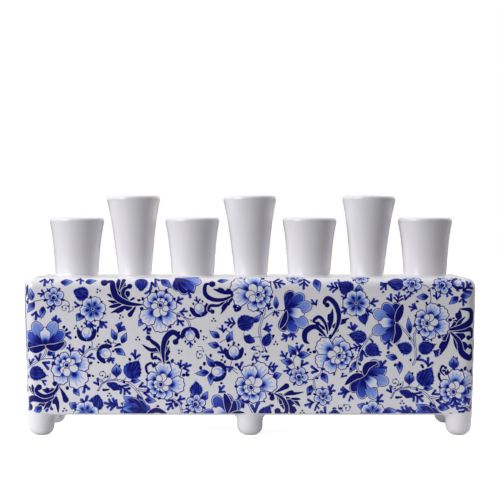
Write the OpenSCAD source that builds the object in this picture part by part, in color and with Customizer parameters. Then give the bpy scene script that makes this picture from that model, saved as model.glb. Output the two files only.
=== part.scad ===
// Seven-spout flower vase: a long glazed box on six rounded feet, with a row of
// flared stem tubes on its deck, short and tall by turns. Each clay piece is cast
// on its own and luted to the next one with slip before the first firing, and a
// printed transfer is then fired on to each of the four walls.
//
// Millimetres. The origin is the middle of the footprint, on the surface that the
// feet stand on. X runs along the row of tubes, -Y is the front, +Z is up.

/* [Body] */
// Length of the body at its widest, just under the deck
body_l = 300; // [290:1:330]
// Depth of the body at its widest
body_d = 75; // [70:1:90]
// Height of the body, from its underside to the top of the deck
body_h = 91; // [80:1:110]
// Thickness of the cast walls, the floor and the deck
wall = 5; // [4:0.5:6]
// Radius of the deck's edges and of the upright corners
edge_r = 7; // [6.5:0.5:9]
// Radius of the edge around the underside
base_edge_r = 2; // [1:0.5:3]
// How far each end wall leans in over its height
end_draft = 2; // [0:0.5:4]
// How far the front and back walls lean in over their height
face_draft = 1; // [0:0.5:3]

/* [Feet] */
// Height of the feet
foot_h = 14; // [12:1:18]
// Radius of a foot at half its height
foot_r = 8.4; // [8:0.1:9]
// Radius of a foot where it meets the floor
foot_top_r = 8.8; // [8.4:0.1:10]
// Radius of the rounding around a foot's underside
foot_edge_r = 6; // [4:0.5:6.5]

/* [Tubes] */
// Distance between the axes of neighbouring tubes
tube_pitch = 40; // [39:0.5:41]
// How far the whole row stands to the right of the body's middle
row_shift = 0.7; // [-1:0.1:1]
// Height of the four short tubes above the deck
short_h = 40; // [30:1:48]
// Outer radius of a short tube at its foot
short_base_r = 14.5; // [13:0.25:16]
// Outer radius of a short tube at its rim
short_rim_r = 18.5; // [17:0.5:19]
// Height of the three tall tubes above the deck
tall_h = 55; // [50:1:70]
// Outer radius of a tall tube at its foot
tall_base_r = 11.2; // [10:0.2:13]
// Outer radius of a tall tube at its rim
tall_rim_r = 18.2; // [16:0.1:19]
// Wall thickness of the tubes
tube_wall = 3.8; // [3:0.2:4.4]
// Radius of the slip fillet where a tube meets the deck
lute_r = 1.5; // [1:0.25:2]
// Sideways lean of each tube, in degrees, from the left end to the right end
tube_leans = [0, -1.1, -0.7, -0.9, 0.6, 1.4, 0]; // [-2:0.1:2]

/* [Transfers] */
// Thickness of a fired transfer
film = 0.15; // [0.1:0.05:0.3]
// Height of a transfer's lower edge above the underside
film_low = 1.2; // [1:0.2:4]
// How far a transfer on the front or back reaches past the deck's edge
face_wrap = 10; // [8:1:12]
// How far a transfer on an end reaches past the deck's edge
end_wrap = 9; // [8:1:12]

/* [Hidden] */
TUBES = 7;
tube_names = [for (i = [1 : TUBES]) str("tube_", i)];
foot_names = ["foot_front_left", "foot_front_middle", "foot_front_right",
              "foot_rear_left", "foot_rear_middle", "foot_rear_right"];

smooth = 96;      // segments around a turned piece
hull_smooth = 32; // segments around the corners that hull() joins
curve_steps = 14; // points along a tube's flare
arc_steps = 8;    // points along a small rounding
past = 1;         // how far a cutting shape runs past what it cuts

deck_z = foot_h + body_h;
seam_z = deck_z - wall;
corner_x = body_l / 2 - edge_r; // centre of an upright corner, at the deck
corner_y = body_d / 2 - edge_r;

foot_x = body_l / 2 - end_draft - foot_top_r;
foot_y = body_d / 2 - face_draft - foot_top_r;
foot_pad_r = foot_r - foot_edge_r; // the flat that a foot stands on

lip_r = tube_wall / 2;
flare_power = 3.5; // how late a tube's mouth opens out
collar = 3;        // height of the upright collar at a rim, with its lip

clay = [0.93, 0.93, 0.94];
cobalt = [0.16, 0.25, 0.66];

function arc(x, z, r, from, to) =
    [for (i = [0 : arc_steps]) let (a = from + (to - from) * i / arc_steps)
        [x + r * cos(a), z + r * sin(a)]];

// A tube's outer radius at height share t: a straight taper that opens out late.
function flared(base_r, rim_r, taper, t) =
    base_r + (rim_r - base_r) * (taper * t + (1 - taper) * pow(t, flare_power));

function is_tall(i) = i % 2 == 1;
function tube_x(i) = (i - (TUBES - 1) / 2) * tube_pitch + row_shift;
function tube_bore_r(i) = (is_tall(i) ? tall_base_r : short_base_r) - tube_wall;

// ---- the body ----

module at_corners(l, d) {
    for (sx = [-1, 1], sy = [-1, 1])
        translate([sx * l / 2, sy * d / 2, 0]) children();
}

// A disc of radius r whose rim is rounded to radius e, centred on the plane z = 0.
module rounded_disc(r, e) {
    rotate_extrude($fn = hull_smooth)
        translate([r - e, 0])
            intersection() {
                circle(r = e, $fn = hull_smooth);
                translate([0, -e]) square([e, 2 * e]);
            }
}

// The body's whole outer form, or that form grown evenly by a skin.
module outer_form(skin = 0) {
    hull() {
        translate([0, 0, deck_z - edge_r])
            at_corners(2 * corner_x, 2 * corner_y)
                rounded_disc(edge_r + skin, edge_r + skin);
        translate([0, 0, foot_h + base_edge_r])
            at_corners(2 * (corner_x - end_draft), 2 * (corner_y - face_draft))
                rounded_disc(edge_r + skin, base_edge_r + skin);
    }
}

module layer(low, high) {
    translate([-body_l, -body_d, low]) cube([2 * body_l, 2 * body_d, high - low]);
}

// The water chamber, open at the top until the deck closes it.
module chamber() {
    inner_r = edge_r - wall;
    hull() {
        translate([0, 0, seam_z])
            at_corners(2 * corner_x, 2 * corner_y)
                cylinder(r = inner_r, h = past, $fn = hull_smooth);
        translate([0, 0, foot_h + wall + inner_r])
            at_corners(2 * (corner_x - end_draft), 2 * (corner_y - face_draft))
                rounded_disc(inner_r, inner_r);
    }
}

module body_box() {
    color(clay)
        difference() {
            intersection() {
                outer_form();
                layer(0, seam_z);
            }
            chamber();
        }
}

module deck() {
    color(clay)
        difference() {
            intersection() {
                outer_form();
                layer(seam_z, deck_z + past);
            }
            for (i = [0 : TUBES - 1])
                translate([tube_x(i), 0, seam_z - past])
                    cylinder(r = tube_bore_r(i), h = wall + 2 * past, $fn = smooth);
        }
}

// ---- the stem tubes ----

// Half section of a tube, from one wall height below the deck up to the rim.
module tube_section(h, base_r, rim_r, taper) {
    flare_h = h - collar;
    outer = [for (i = [1 : curve_steps]) let (t = i / curve_steps)
        if (t * flare_h > lute_r) [flared(base_r, rim_r, taper, t), t * flare_h]];
    inner = [for (p = outer) [p.x - tube_wall, p.y]];
    polygon(concat(
        [[base_r - tube_wall, -past], [base_r + lute_r, -past]],
        arc(base_r + lute_r, lute_r, lute_r, 270, 180),
        outer,
        arc(rim_r - lip_r, h - lip_r, lip_r, 0, 180),
        [for (i = [len(inner) - 1 : -1 : 0]) inner[i]],
        [[base_r - tube_wall, lute_r]]));
}

// A tube leans about the middle of its foot, and its foot is then cut level.
module tube(i) {
    h = is_tall(i) ? tall_h : short_h;
    rim_r = is_tall(i) ? tall_rim_r : short_rim_r;
    base_r = is_tall(i) ? tall_base_r : short_base_r;
    taper = is_tall(i) ? 0.7 : 0.6;
    color(clay)
        translate([tube_x(i), 0, deck_z])
            intersection() {
                rotate([0, tube_leans[i], 0])
                    rotate_extrude($fn = smooth)
                        tube_section(h, base_r, rim_r, taper);
                translate([-body_d, -body_d, 0]) cube(2 * body_d);
            }
}

// ---- the feet ----

module foot(x, y) {
    color(clay)
        difference() {
            translate([x, y, 0])
                rotate_extrude($fn = smooth)
                    polygon(concat(
                        [[0, 0]],
                        arc(foot_pad_r, foot_edge_r, foot_edge_r, 270, 360),
                        [[foot_top_r, foot_h], [foot_top_r, foot_h + base_edge_r],
                         [0, foot_h + base_edge_r]]));
            outer_form();
        }
}

// ---- the transfers ----

// The skin of the body inside an outline seen from above.
module transfer(outline) {
    color(cobalt)
        intersection() {
            difference() {
                outer_form(film);
                outer_form();
            }
            translate([0, 0, foot_h + film_low])
                linear_extrude(body_h) polygon(outline);
        }
}

// A transfer reaches this far round an upright corner, in degrees.
face_turn = 52;
end_turn = 30;
reach = 2 * edge_r;

face_outline = let (
    ox = corner_x + reach * sin(face_turn),
    oy = corner_y + reach * cos(face_turn),
    wx = body_l / 2 - end_wrap,
    wy = body_d / 2 - face_wrap)
    [[-wx, -wy], [-corner_x, -corner_y], [-ox, -oy], [ox, -oy], [corner_x, -corner_y], [wx, -wy]];

end_outline = let (
    gap = 1,
    ox = corner_x + reach * cos(end_turn),
    oy = corner_y + reach * sin(end_turn),
    wx = body_l / 2 - end_wrap,
    wy = body_d / 2 - face_wrap - gap)
    [[wx, -wy], [corner_x + gap, -corner_y], [ox, -oy], [ox, oy], [corner_x + gap, corner_y], [wx, wy]];

body_box();
deck();
for (i = [0 : TUBES - 1])
    tube(i);
for (i = [0 : 2], j = [0, 1])
    foot((i - 1) * foot_x, (2 * j - 1) * foot_y);
transfer(face_outline);  // transfer_front
rotate(180) transfer(face_outline);  // transfer_back
transfer(end_outline);  // transfer_right
rotate(180) transfer(end_outline);  // transfer_left
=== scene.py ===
"""The visual model of a long flower vase: white glazed ware with a cobalt print on its four walls.

The print is drawn here from small motifs (leaves, sprigs, blossoms, scrolls). Its shapes are
partitioned on the unrolled wall and then laid on the body's surface. Millimetres throughout,
turned into metres as a mesh is made.
"""

import math

import bpy
import numpy as np
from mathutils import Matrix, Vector, geometry


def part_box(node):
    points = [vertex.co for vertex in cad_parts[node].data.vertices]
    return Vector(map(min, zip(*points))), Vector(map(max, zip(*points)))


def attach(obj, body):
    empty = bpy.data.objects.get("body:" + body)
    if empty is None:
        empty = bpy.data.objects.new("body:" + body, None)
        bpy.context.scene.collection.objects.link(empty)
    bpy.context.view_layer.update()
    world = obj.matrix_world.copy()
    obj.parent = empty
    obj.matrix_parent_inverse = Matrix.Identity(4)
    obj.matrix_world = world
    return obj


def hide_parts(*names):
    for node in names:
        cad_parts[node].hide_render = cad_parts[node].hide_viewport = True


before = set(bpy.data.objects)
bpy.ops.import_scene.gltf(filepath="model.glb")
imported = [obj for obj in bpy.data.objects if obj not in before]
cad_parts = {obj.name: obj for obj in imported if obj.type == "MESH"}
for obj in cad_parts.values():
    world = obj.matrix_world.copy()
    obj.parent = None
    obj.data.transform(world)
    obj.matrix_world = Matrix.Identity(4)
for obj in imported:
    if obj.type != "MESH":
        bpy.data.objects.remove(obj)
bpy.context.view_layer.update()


def span(node):
    """A node's box in millimetres."""
    lo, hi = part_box(node)
    return [v * 1000 for v in lo], [v * 1000 for v in hi]


body_lo, body_hi = span("body_box")
_, deck_hi = span("deck")
TUBES = ["tube_%d" % k for k in range(1, 8)]

# ---- the body's form, as in the CAD ----
EDGE_R = 7.0        # deck edges and upright corners
BASE_R = 2.0        # edge around the underside
END_DRAFT = 2.0     # how far the ends lean in, and the long walls
FACE_DRAFT = 1.0
WALL = 5.0
UNDER = body_lo[2]
SEAM = body_hi[2]
DECK = deck_hi[2]
LINE_X = body_hi[0] - EDGE_R    # centre line of an upright corner at the deck
LINE_Y = body_hi[1] - EDGE_R
ROUND_FROM = DECK - EDGE_R      # where the top rounding starts
SEAM_TURN = math.asin((SEAM - ROUND_FROM) / EDGE_R)     # how far round it the deck starts
CORNER_STEPS = 12
RIM_STEPS = 12
TURNED_STEPS = 96   # points around a tube, and around the hole under it
WALL_RINGS = (36, 57, 78)     # heights of the walls' rings between the two roundings
PRINT_LIFT = 0.06   # how proud the print lies; the CAD film is 0.15


def section(height):
    """At a height measured along the wall's profile: z, corner centre x and y, corner radius, and the
    outward normal's share. Below ROUND_FROM the height is z itself; above, it follows the rounding."""
    if height <= ROUND_FROM:
        share = (ROUND_FROM - height) / (ROUND_FROM - UNDER - BASE_R)
        return (height, LINE_X - END_DRAFT * share, LINE_Y - FACE_DRAFT * share, EDGE_R, 1.0)
    a = min((height - ROUND_FROM) / EDGE_R, math.pi / 2)
    return (ROUND_FROM + EDGE_R * math.sin(a), LINE_X, LINE_Y, EDGE_R * math.cos(a), math.cos(a))


# ---- meshes ----


def make_mesh(name, verts, faces, materials, normals, face_slots=None, uvs=None):
    """A mesh object in metres from millimetres. normals are per vertex, uvs per face corner."""
    mesh = bpy.data.meshes.new(name)
    mesh.from_pydata([(x / 1000, y / 1000, z / 1000) for x, y, z in verts], [], faces)
    for m in materials:
        mesh.materials.append(m)
    if face_slots is not None:
        mesh.polygons.foreach_set("material_index", face_slots)
    if uvs is not None:
        layer = mesh.uv_layers.new(name="grain")
        layer.data.foreach_set("uv", np.asarray(uvs, dtype=np.float32).ravel())
    mesh.polygons.foreach_set("use_smooth", [True] * len(mesh.polygons))
    mesh.update()
    mesh.normals_split_custom_set_from_vertices([Vector(n) for n in normals])
    obj = bpy.data.objects.new(name, mesh)
    bpy.context.scene.collection.objects.link(obj)
    return obj


def belongs(obj, slot, *nodes):
    """Hangs a piece on what it rides on, the root, and hides the CAD nodes it stands for. slot, what it is
    made of, is not used.
    """
    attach(obj, "root")
    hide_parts(*nodes)


class Solid:
    """Collects rings of points with normals, and stitches neighbouring rings into a surface."""

    def __init__(self):
        self.verts, self.normals, self.faces = [], [], []

    def ring(self, points):
        first = len(self.verts)
        for p, n in points:
            self.verts.append(p)
            self.normals.append(n)
        return list(range(first, len(self.verts)))

    def stitch(self, a, b):
        n = len(a)
        for i in range(n):
            j = (i + 1) % n
            self.faces.append((a[i], a[j], b[j], b[i]))

    def cap(self, ring, up):
        """Closes a ring with one flat face, with points of its own so that its edge stays crisp."""
        own = self.ring([(self.verts[i], (0, 0, 1 if up else -1)) for i in ring])
        self.faces.append(tuple(own if up else own[::-1]))

    def plate(self, outer, holes, z, up):
        """A flat plate at z between an outer loop and round holes."""
        pts, edges = [], []
        for loop in [outer] + holes:
            first = len(pts)
            pts += [Vector(p) for p in loop]
            edges += [(first + i, first + (i + 1) % len(loop)) for i in range(len(loop))]
        verts, _, tris, _, _, _ = geometry.delaunay_2d_cdt(pts, edges, [], 0, 1e-5, False)
        keep = []
        for t in tris:
            x = sum(verts[i][0] for i in t) / 3
            y = sum(verts[i][1] for i in t) / 3
            inside = within([(x, y)], outer)[0] and not any(within([(x, y)], h)[0] for h in holes)
            if inside:
                keep.append(t if up else t[::-1])
        own = self.ring([((v[0], v[1], z), (0, 0, 1 if up else -1)) for v in verts])
        self.faces += [tuple(own[i] for i in t) for t in keep]


def within(points, loop):
    """For each point, whether it lies inside the closed loop (winding number not zero)."""
    p = np.asarray(points, dtype=float)
    a = np.asarray(loop, dtype=float)
    b = np.roll(a, -1, axis=0)
    px, py = p[:, 0:1], p[:, 1:2]
    side = (b[:, 0] - a[:, 0]) * (py - a[:, 1]) - (px - a[:, 0]) * (b[:, 1] - a[:, 1])
    up = (a[:, 1] <= py) & (b[:, 1] > py) & (side > 0)
    down = (a[:, 1] > py) & (b[:, 1] <= py) & (side < 0)
    return (up.sum(axis=1) - down.sum(axis=1)) != 0


def round_box(cx, cy, r, z, nr, nz):
    """One ring of the body: a rounded rectangle, anticlockwise from the right-hand front corner."""
    ring = []
    for sx, sy, start in ((1, -1, -90), (1, 1, 0), (-1, 1, 90), (-1, -1, 180)):
        for k in range(CORNER_STEPS + 1):
            a = math.radians(start + 90 * k / CORNER_STEPS)
            c, s = math.cos(a), math.sin(a)
            ring.append(((sx * cx + r * c, sy * cy + r * s, z), (c * nr, s * nr, nz)))
    return ring


def profile_ring(height):
    """The body's ring at a height measured along the wall's profile."""
    z, cx, cy, r, level = section(height)
    return round_box(cx, cy, r, z, level, math.sqrt(max(1 - level * level, 0)))


def body_solid():
    """The box with its chamber, open at the top, from the underside up to the deck's seam."""
    s = Solid()
    rings = []
    for k in range(7):
        a = math.pi / 2 * (1 - k / 6)
        r = EDGE_R - BASE_R + BASE_R * math.cos(a)
        rings.append(s.ring(round_box(LINE_X - END_DRAFT, LINE_Y - FACE_DRAFT, r,
                                      UNDER + BASE_R - BASE_R * math.sin(a), math.cos(a), -math.sin(a))))
    for h in (*WALL_RINGS, ROUND_FROM):
        rings.append(s.ring(profile_ring(h)))
    for k in (1, 2, 3):
        rings.append(s.ring(profile_ring(ROUND_FROM + EDGE_R * SEAM_TURN * k / 3)))
    for a, b in zip(rings, rings[1:]):
        s.stitch(a, b)
    s.cap(rings[0], False)
    inner = EDGE_R - WALL
    rim = EDGE_R * math.cos(SEAM_TURN)
    a = s.ring(round_box(LINE_X, LINE_Y, rim, SEAM, 0, 1))
    b = s.ring(round_box(LINE_X, LINE_Y, inner, SEAM, 0, 1))
    s.stitch(a, b)
    a = s.ring(round_box(LINE_X, LINE_Y, inner, SEAM, -1, 0))
    b = s.ring(round_box(LINE_X - END_DRAFT, LINE_Y - FACE_DRAFT, inner, UNDER + WALL + inner, -1, 0))
    c = s.ring(round_box(LINE_X - END_DRAFT, LINE_Y - FACE_DRAFT, 0.6, UNDER + WALL, -0.3, 0.95))
    s.stitch(a, b)
    s.stitch(b, c)
    s.cap(c, True)
    return s


def circle(x, y, r):
    turns = [2 * math.pi * k / TURNED_STEPS for k in range(TURNED_STEPS)]
    return [(x + r * math.cos(a), y + r * math.sin(a)) for a in turns]


def deck_solid(bores):
    """The deck, with a hole for each bore's x and radius."""
    s = Solid()
    rings = []
    for k in range(RIM_STEPS + 1):
        a = SEAM_TURN + (math.pi / 2 - SEAM_TURN) * k / RIM_STEPS
        rings.append(s.ring(profile_ring(ROUND_FROM + EDGE_R * min(a, math.pi / 2 - 1e-3))))
    for a, b in zip(rings, rings[1:]):
        s.stitch(a, b)
    top = [s.verts[i][:2] for i in rings[-1]]
    low = [s.verts[i][:2] for i in rings[0]]
    holes = [circle(x, 0, r) for x, r in bores]
    s.plate(top, holes, DECK, True)
    s.plate(low, holes, SEAM, False)
    for (x, r), hole in zip(bores, holes):
        a = s.ring([((px, py, SEAM), ((x - px) / r, -py / r, 0)) for px, py in hole])
        b = s.ring([((px, py, DECK), ((x - px) / r, -py / r, 0)) for px, py in hole])
        s.stitch(a, b)
    return s


# ---- tubes ----
TUBE_WALL = 3.8
LIP_R = TUBE_WALL / 2
LUTE_R = 1.5        # slip fillet around a tube's foot
COLLAR = 3.0        # the upright end of a mouth, with its lip
PITCH = 40.0
ROW_SHIFT = 0.7
LEANS = (0.0, -1.1, -0.7, -0.9, 0.6, 1.4, 0.0)      # each tube sideways, in degrees
SETTLE_H = 8.0      # the height over which a leaning tube comes level, down to the deck
SHORT = {"h": 40.0, "base": 14.5, "rim": 18.5, "taper": 0.6}
TALL = {"h": 55.0, "base": 11.2, "rim": 18.2, "taper": 0.7}
FLARE_POWER = 3.5   # how late a tube's mouth opens out
FLARE_STEPS = 28


def tube_x(index):
    return (index - 3) * PITCH + ROW_SHIFT


def tube_form(index):
    return TALL if index % 2 else SHORT


def tube_profile(form):
    """Half section of a tube as points and normals, from its foot outside, over the lip, down inside."""
    h, base, rim, taper = form["h"], form["base"], form["rim"], form["taper"]
    flare_h = h - COLLAR

    def outer(t):
        return base + (rim - base) * (taper * t + (1 - taper) * t ** FLARE_POWER)

    def lean_out(t):
        slope = (rim - base) / flare_h * (taper + (1 - taper) * FLARE_POWER * t ** (FLARE_POWER - 1))
        d = math.hypot(1, slope)
        return 1 / d, -slope / d

    rows = []
    for k in range(7):
        a = math.radians(270 - 90 * k / 6)
        c, s = math.cos(a), math.sin(a)
        rows.append((base + LUTE_R * (1 + c), LUTE_R * (1 + s), -c, -s))
    for k in range(2, FLARE_STEPS + 1):
        t = k / FLARE_STEPS
        nr, nz = lean_out(t)
        rows.append((outer(t), t * flare_h, nr, nz))
    lip_z = h - LIP_R
    for k in range(13):
        a = math.radians(180 * k / 12)
        c, s = math.cos(a), math.sin(a)
        rows.append((rim - LIP_R + LIP_R * c, lip_z + LIP_R * s, c, s))
    for k in range(FLARE_STEPS, 1, -2):
        t = k / FLARE_STEPS
        nr, nz = lean_out(t)
        rows.append((outer(t) - TUBE_WALL, t * flare_h, -nr, -nz))
    rows.append((base - TUBE_WALL, LUTE_R, -1, 0))
    rows.append((base - TUBE_WALL, 0, -1, 0))
    return rows


def tube_solid(index):
    """A tube that leans about the middle of its foot, which stays level on the deck."""
    s = Solid()
    x0 = tube_x(index)
    lean = math.radians(LEANS[index])
    rings = []
    for r, z, nr, nz in tube_profile(tube_form(index)):
        settle = min(z / SETTLE_H, 1.0) ** 2
        ring = []
        for k in range(TURNED_STEPS):
            a = 2 * math.pi * k / TURNED_STEPS
            x, y = r * math.cos(a), r * math.sin(a)
            point = (x0 + x * math.cos(lean) + z * math.sin(lean), y,
                     DECK + z * math.cos(lean) - x * math.sin(lean) * settle)
            nx = nr * math.cos(a)
            ring.append((point, (nx * math.cos(lean) + nz * math.sin(lean), nr * math.sin(a),
                                 nz * math.cos(lean) - nx * math.sin(lean))))
        rings.append(s.ring(ring))
    for a, b in zip(rings, rings[1:]):
        s.stitch(a, b)
    s.stitch(rings[-1], rings[0])
    return s


# ---- feet ----
FOOT_R = 8.4
FOOT_TOP = 8.8      # radius where a foot meets the underside
FOOT_EDGE = 6.0     # rounding below
FOOT_REACH = UNDER + BASE_R + 0.4       # how high a foot reaches up the walls
SPREAD = 2.6        # how far a foot spreads into the underside, away from the walls
SPREAD_H = 4.0      # and over what height
FOOT_STEPS = 48


def squared_circle(share):
    """A loop of unit half width, from a circle (share 1) towards a rounded square (smaller shares). Each
    point comes with its direction from the middle."""
    loop = []
    for k in range(FOOT_STEPS):
        a = 2 * math.pi * k / FOOT_STEPS
        c, s = math.cos(a), math.sin(a)
        lo, hi = 0.0, 2.0
        for _ in range(30):
            m = (lo + hi) / 2
            qx, qy = abs(m * c), abs(m * s)
            flat = 1 - share
            ox, oy = max(qx - flat, 0), max(qy - flat, 0)
            if math.hypot(ox, oy) > share or max(qx, qy) > 1:
                hi = m
            else:
                lo = m
        loop.append((lo * c, lo * s, c, s))
    return loop


def foot_solid(x, y):
    """A foot, round below: flush with the walls above it, and spread into the underside elsewhere."""
    s = Solid()
    pad = FOOT_R - FOOT_EDGE
    rows = []
    for k in range(11):
        a = math.pi / 2 * (k / 10 - 1)
        r = pad + FOOT_EDGE * math.cos(a)
        rows.append((FOOT_EDGE * (1 + math.sin(a)), r, r, 1.0, math.cos(a), math.sin(a)))
    for k in range(1, 13):
        t = k / 12
        z = FOOT_EDGE + (FOOT_REACH - FOOT_EDGE) * t
        out = FOOT_R + (FOOT_TOP - FOOT_R) * min((z - FOOT_EDGE) / (UNDER - FOOT_EDGE), 1)
        up = min(max(z - (UNDER - SPREAD_H), 0) / SPREAD_H, 1)
        rows.append((z, out, out + SPREAD * up ** 2.4, 1 - 0.3 * t, 1.0, -0.06 - 0.85 * up ** 1.6))
    rings = []
    for z, out, inward, share, nr, nz in rows:
        ring = []
        for px, py, c, sn in squared_circle(share):
            wx = out if x * px > 0 and abs(x) > 1 else inward
            wy = out if y * py > 0 else inward
            spread = (abs(px) * (wx > out) + abs(py) * (wy > out)) / (abs(px) + abs(py))
            tilt = nz if z <= FOOT_EDGE else -0.05 + spread * (nz + 0.05)
            ring.append(((x + px * wx, y + py * wy, z), (c * nr, sn * nr, tilt)))
        rings.append(s.ring(ring))
    for a, b in zip(rings, rings[1:]):
        s.stitch(a, b)
    s.cap(rings[0], False)
    s.cap(rings[-1], True)
    return s


# ---- materials ----


def new_material(name, roughness=0.14):
    mat = bpy.data.materials.new(name)
    mat.use_nodes = True
    tree = mat.node_tree
    bsdf = tree.nodes["Principled BSDF"]
    bsdf.inputs["IOR"].default_value = 1.5
    bsdf.inputs["Roughness"].default_value = roughness
    return mat, tree, bsdf


def link(tree, a, b):
    tree.links.new(a, b)


def noise_node(tree, coords, scale, detail):
    n = tree.nodes.new("ShaderNodeTexNoise")
    n.inputs["Scale"].default_value = scale
    n.inputs["Detail"].default_value = detail
    link(tree, coords, n.inputs["Vector"])
    return n.outputs["Fac"]


def math_node(tree, kind, a, b=None, c=None, clamp=False):
    n = tree.nodes.new("ShaderNodeMath")
    n.operation = kind
    n.use_clamp = clamp
    for socket, value in zip(n.inputs, (a, b, c)):
        if value is None:
            continue
        if isinstance(value, (int, float)):
            socket.default_value = value
        else:
            link(tree, value, socket)
    return n.outputs[0]


def glaze_surface(tree, bsdf):
    """Bump and roughness of the glaze, the same over and beside the print."""
    coords = tree.nodes.new("ShaderNodeTexCoord").outputs["Object"]
    swell = noise_node(tree, coords, 34, 1.5)
    fine = noise_node(tree, coords, 620, 1.0)
    height = math_node(tree, "MULTIPLY_ADD", fine, 0.035, swell)
    bump = tree.nodes.new("ShaderNodeBump")
    bump.inputs["Strength"].default_value = 0.22
    bump.inputs["Distance"].default_value = 0.0012
    link(tree, height, bump.inputs["Height"])
    link(tree, bump.outputs["Normal"], bsdf.inputs["Normal"])
    smear = noise_node(tree, coords, 90, 3.0)
    link(tree, math_node(tree, "MULTIPLY_ADD", smear, 0.12, 0.1), bsdf.inputs["Roughness"])
    return coords


def ramp(tree, fac, stops):
    node = tree.nodes.new("ShaderNodeValToRGB")
    elements = node.color_ramp.elements
    while len(elements) < len(stops):
        elements.new(0.5)
    for e, (pos, colour) in zip(elements, stops):
        e.position = pos
        e.color = (*colour, 1)
    link(tree, fac, node.inputs["Fac"])
    return node.outputs["Color"]


def glaze_material():
    mat, tree, bsdf = new_material("white_glaze")
    coords = glaze_surface(tree, bsdf)
    cloud = noise_node(tree, coords, 22, 3.0)
    tone = ramp(tree, cloud, [(0.3, (0.79, 0.777, 0.822)), (0.7, (0.83, 0.817, 0.858))])
    link(tree, tone, bsdf.inputs["Base Color"])
    bsdf.inputs["Coat Weight"].default_value = 0.3
    bsdf.inputs["Coat Roughness"].default_value = 0.04
    return mat


# ---- building the white ware ----

white = glaze_material()
bores = [(tube_x(k), tube_form(k)["base"] - TUBE_WALL) for k in range(len(TUBES))]


def from_solid(name, solid, slot, material, *nodes):
    obj = make_mesh(name, solid.verts, solid.faces, [material], solid.normals)
    belongs(obj, slot, *nodes)


from_solid("vase_box", body_solid(), "white_glaze", white, "body_box")
from_solid("vase_deck", deck_solid(bores), "white_glaze", white, "deck")
for k, node in enumerate(TUBES):
    from_solid("stem_" + node, tube_solid(k), "white_glaze", white, node)
for node in ("foot_front_left", "foot_front_middle", "foot_front_right",
             "foot_rear_left", "foot_rear_middle", "foot_rear_right"):
    lo, hi = span(node)
    x, y = (lo[0] + hi[0]) / 2, (lo[1] + hi[1]) / 2
    from_solid("ball_" + node, foot_solid(x, y), "white_glaze", white, node)


# ---- drawing the print: curves and shapes on the unrolled wall, in millimetres ----


def curve(points, closed=False, steps=5):
    """Points along a smooth curve through the given points."""
    n = len(points)
    out = []
    for i in range(n if closed else n - 1):
        if closed:
            four = [points[(i + k) % n] for k in (-1, 0, 1, 2)]
        else:
            four = [points[min(max(i + k, 0), n - 1)] for k in (-1, 0, 1, 2)]
        for k in range(steps):
            t = k / steps
            mix = (2 * t * t - t ** 3 - t, 2 - 5 * t * t + 3 * t ** 3, t + 4 * t * t - 3 * t ** 3,
                   t ** 3 - t * t)
            out.append(tuple(0.5 * sum(m * p for m, p in zip(mix, axis)) for axis in zip(*four)))
    return out if closed else out + [tuple(points[-1])]


def polar(r, degrees):
    a = math.radians(degrees)
    return r * math.cos(a), r * math.sin(a)


def ribbon(path, half):
    """Outline of a brush stroke along path; half(t) is half its width at share t of the way."""
    n = len(path) - 1
    left, right = [], []
    for i, (x, y) in enumerate(path):
        ax, ay = path[max(i - 1, 0)]
        bx, by = path[min(i + 1, n)]
        d = math.hypot(bx - ax, by - ay) or 1.0
        ux, uy = (bx - ax) / d, (by - ay) / d
        w = max(half(i / n), 0.02)
        left.append((x - uy * w, y + ux * w))
        right.append((x + uy * w, y - ux * w))
        if i == 0:
            start = [(x - ux * w * c - uy * w * s, y - uy * w * c + ux * w * s)
                     for s, c in ((-0.7, 0.7), (0, 1), (0.7, 0.7))]
        if i == n:
            end = [(x + ux * w * c - uy * w * s, y + uy * w * c + ux * w * s)
                   for s, c in ((0.7, 0.7), (0, 1), (-0.7, 0.7))]
    return left + end + right[::-1] + start


def grown(points, by):
    """A closed outline moved outwards; the points run anticlockwise."""
    n = len(points)
    out = []
    for i, (x, y) in enumerate(points):
        ax, ay = points[i - 1]
        bx, by_ = points[(i + 1) % n]
        d = math.hypot(bx - ax, by_ - ay) or 1.0
        out.append((x + (by_ - ay) / d * by, y - (bx - ax) / d * by))
    return out


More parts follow.
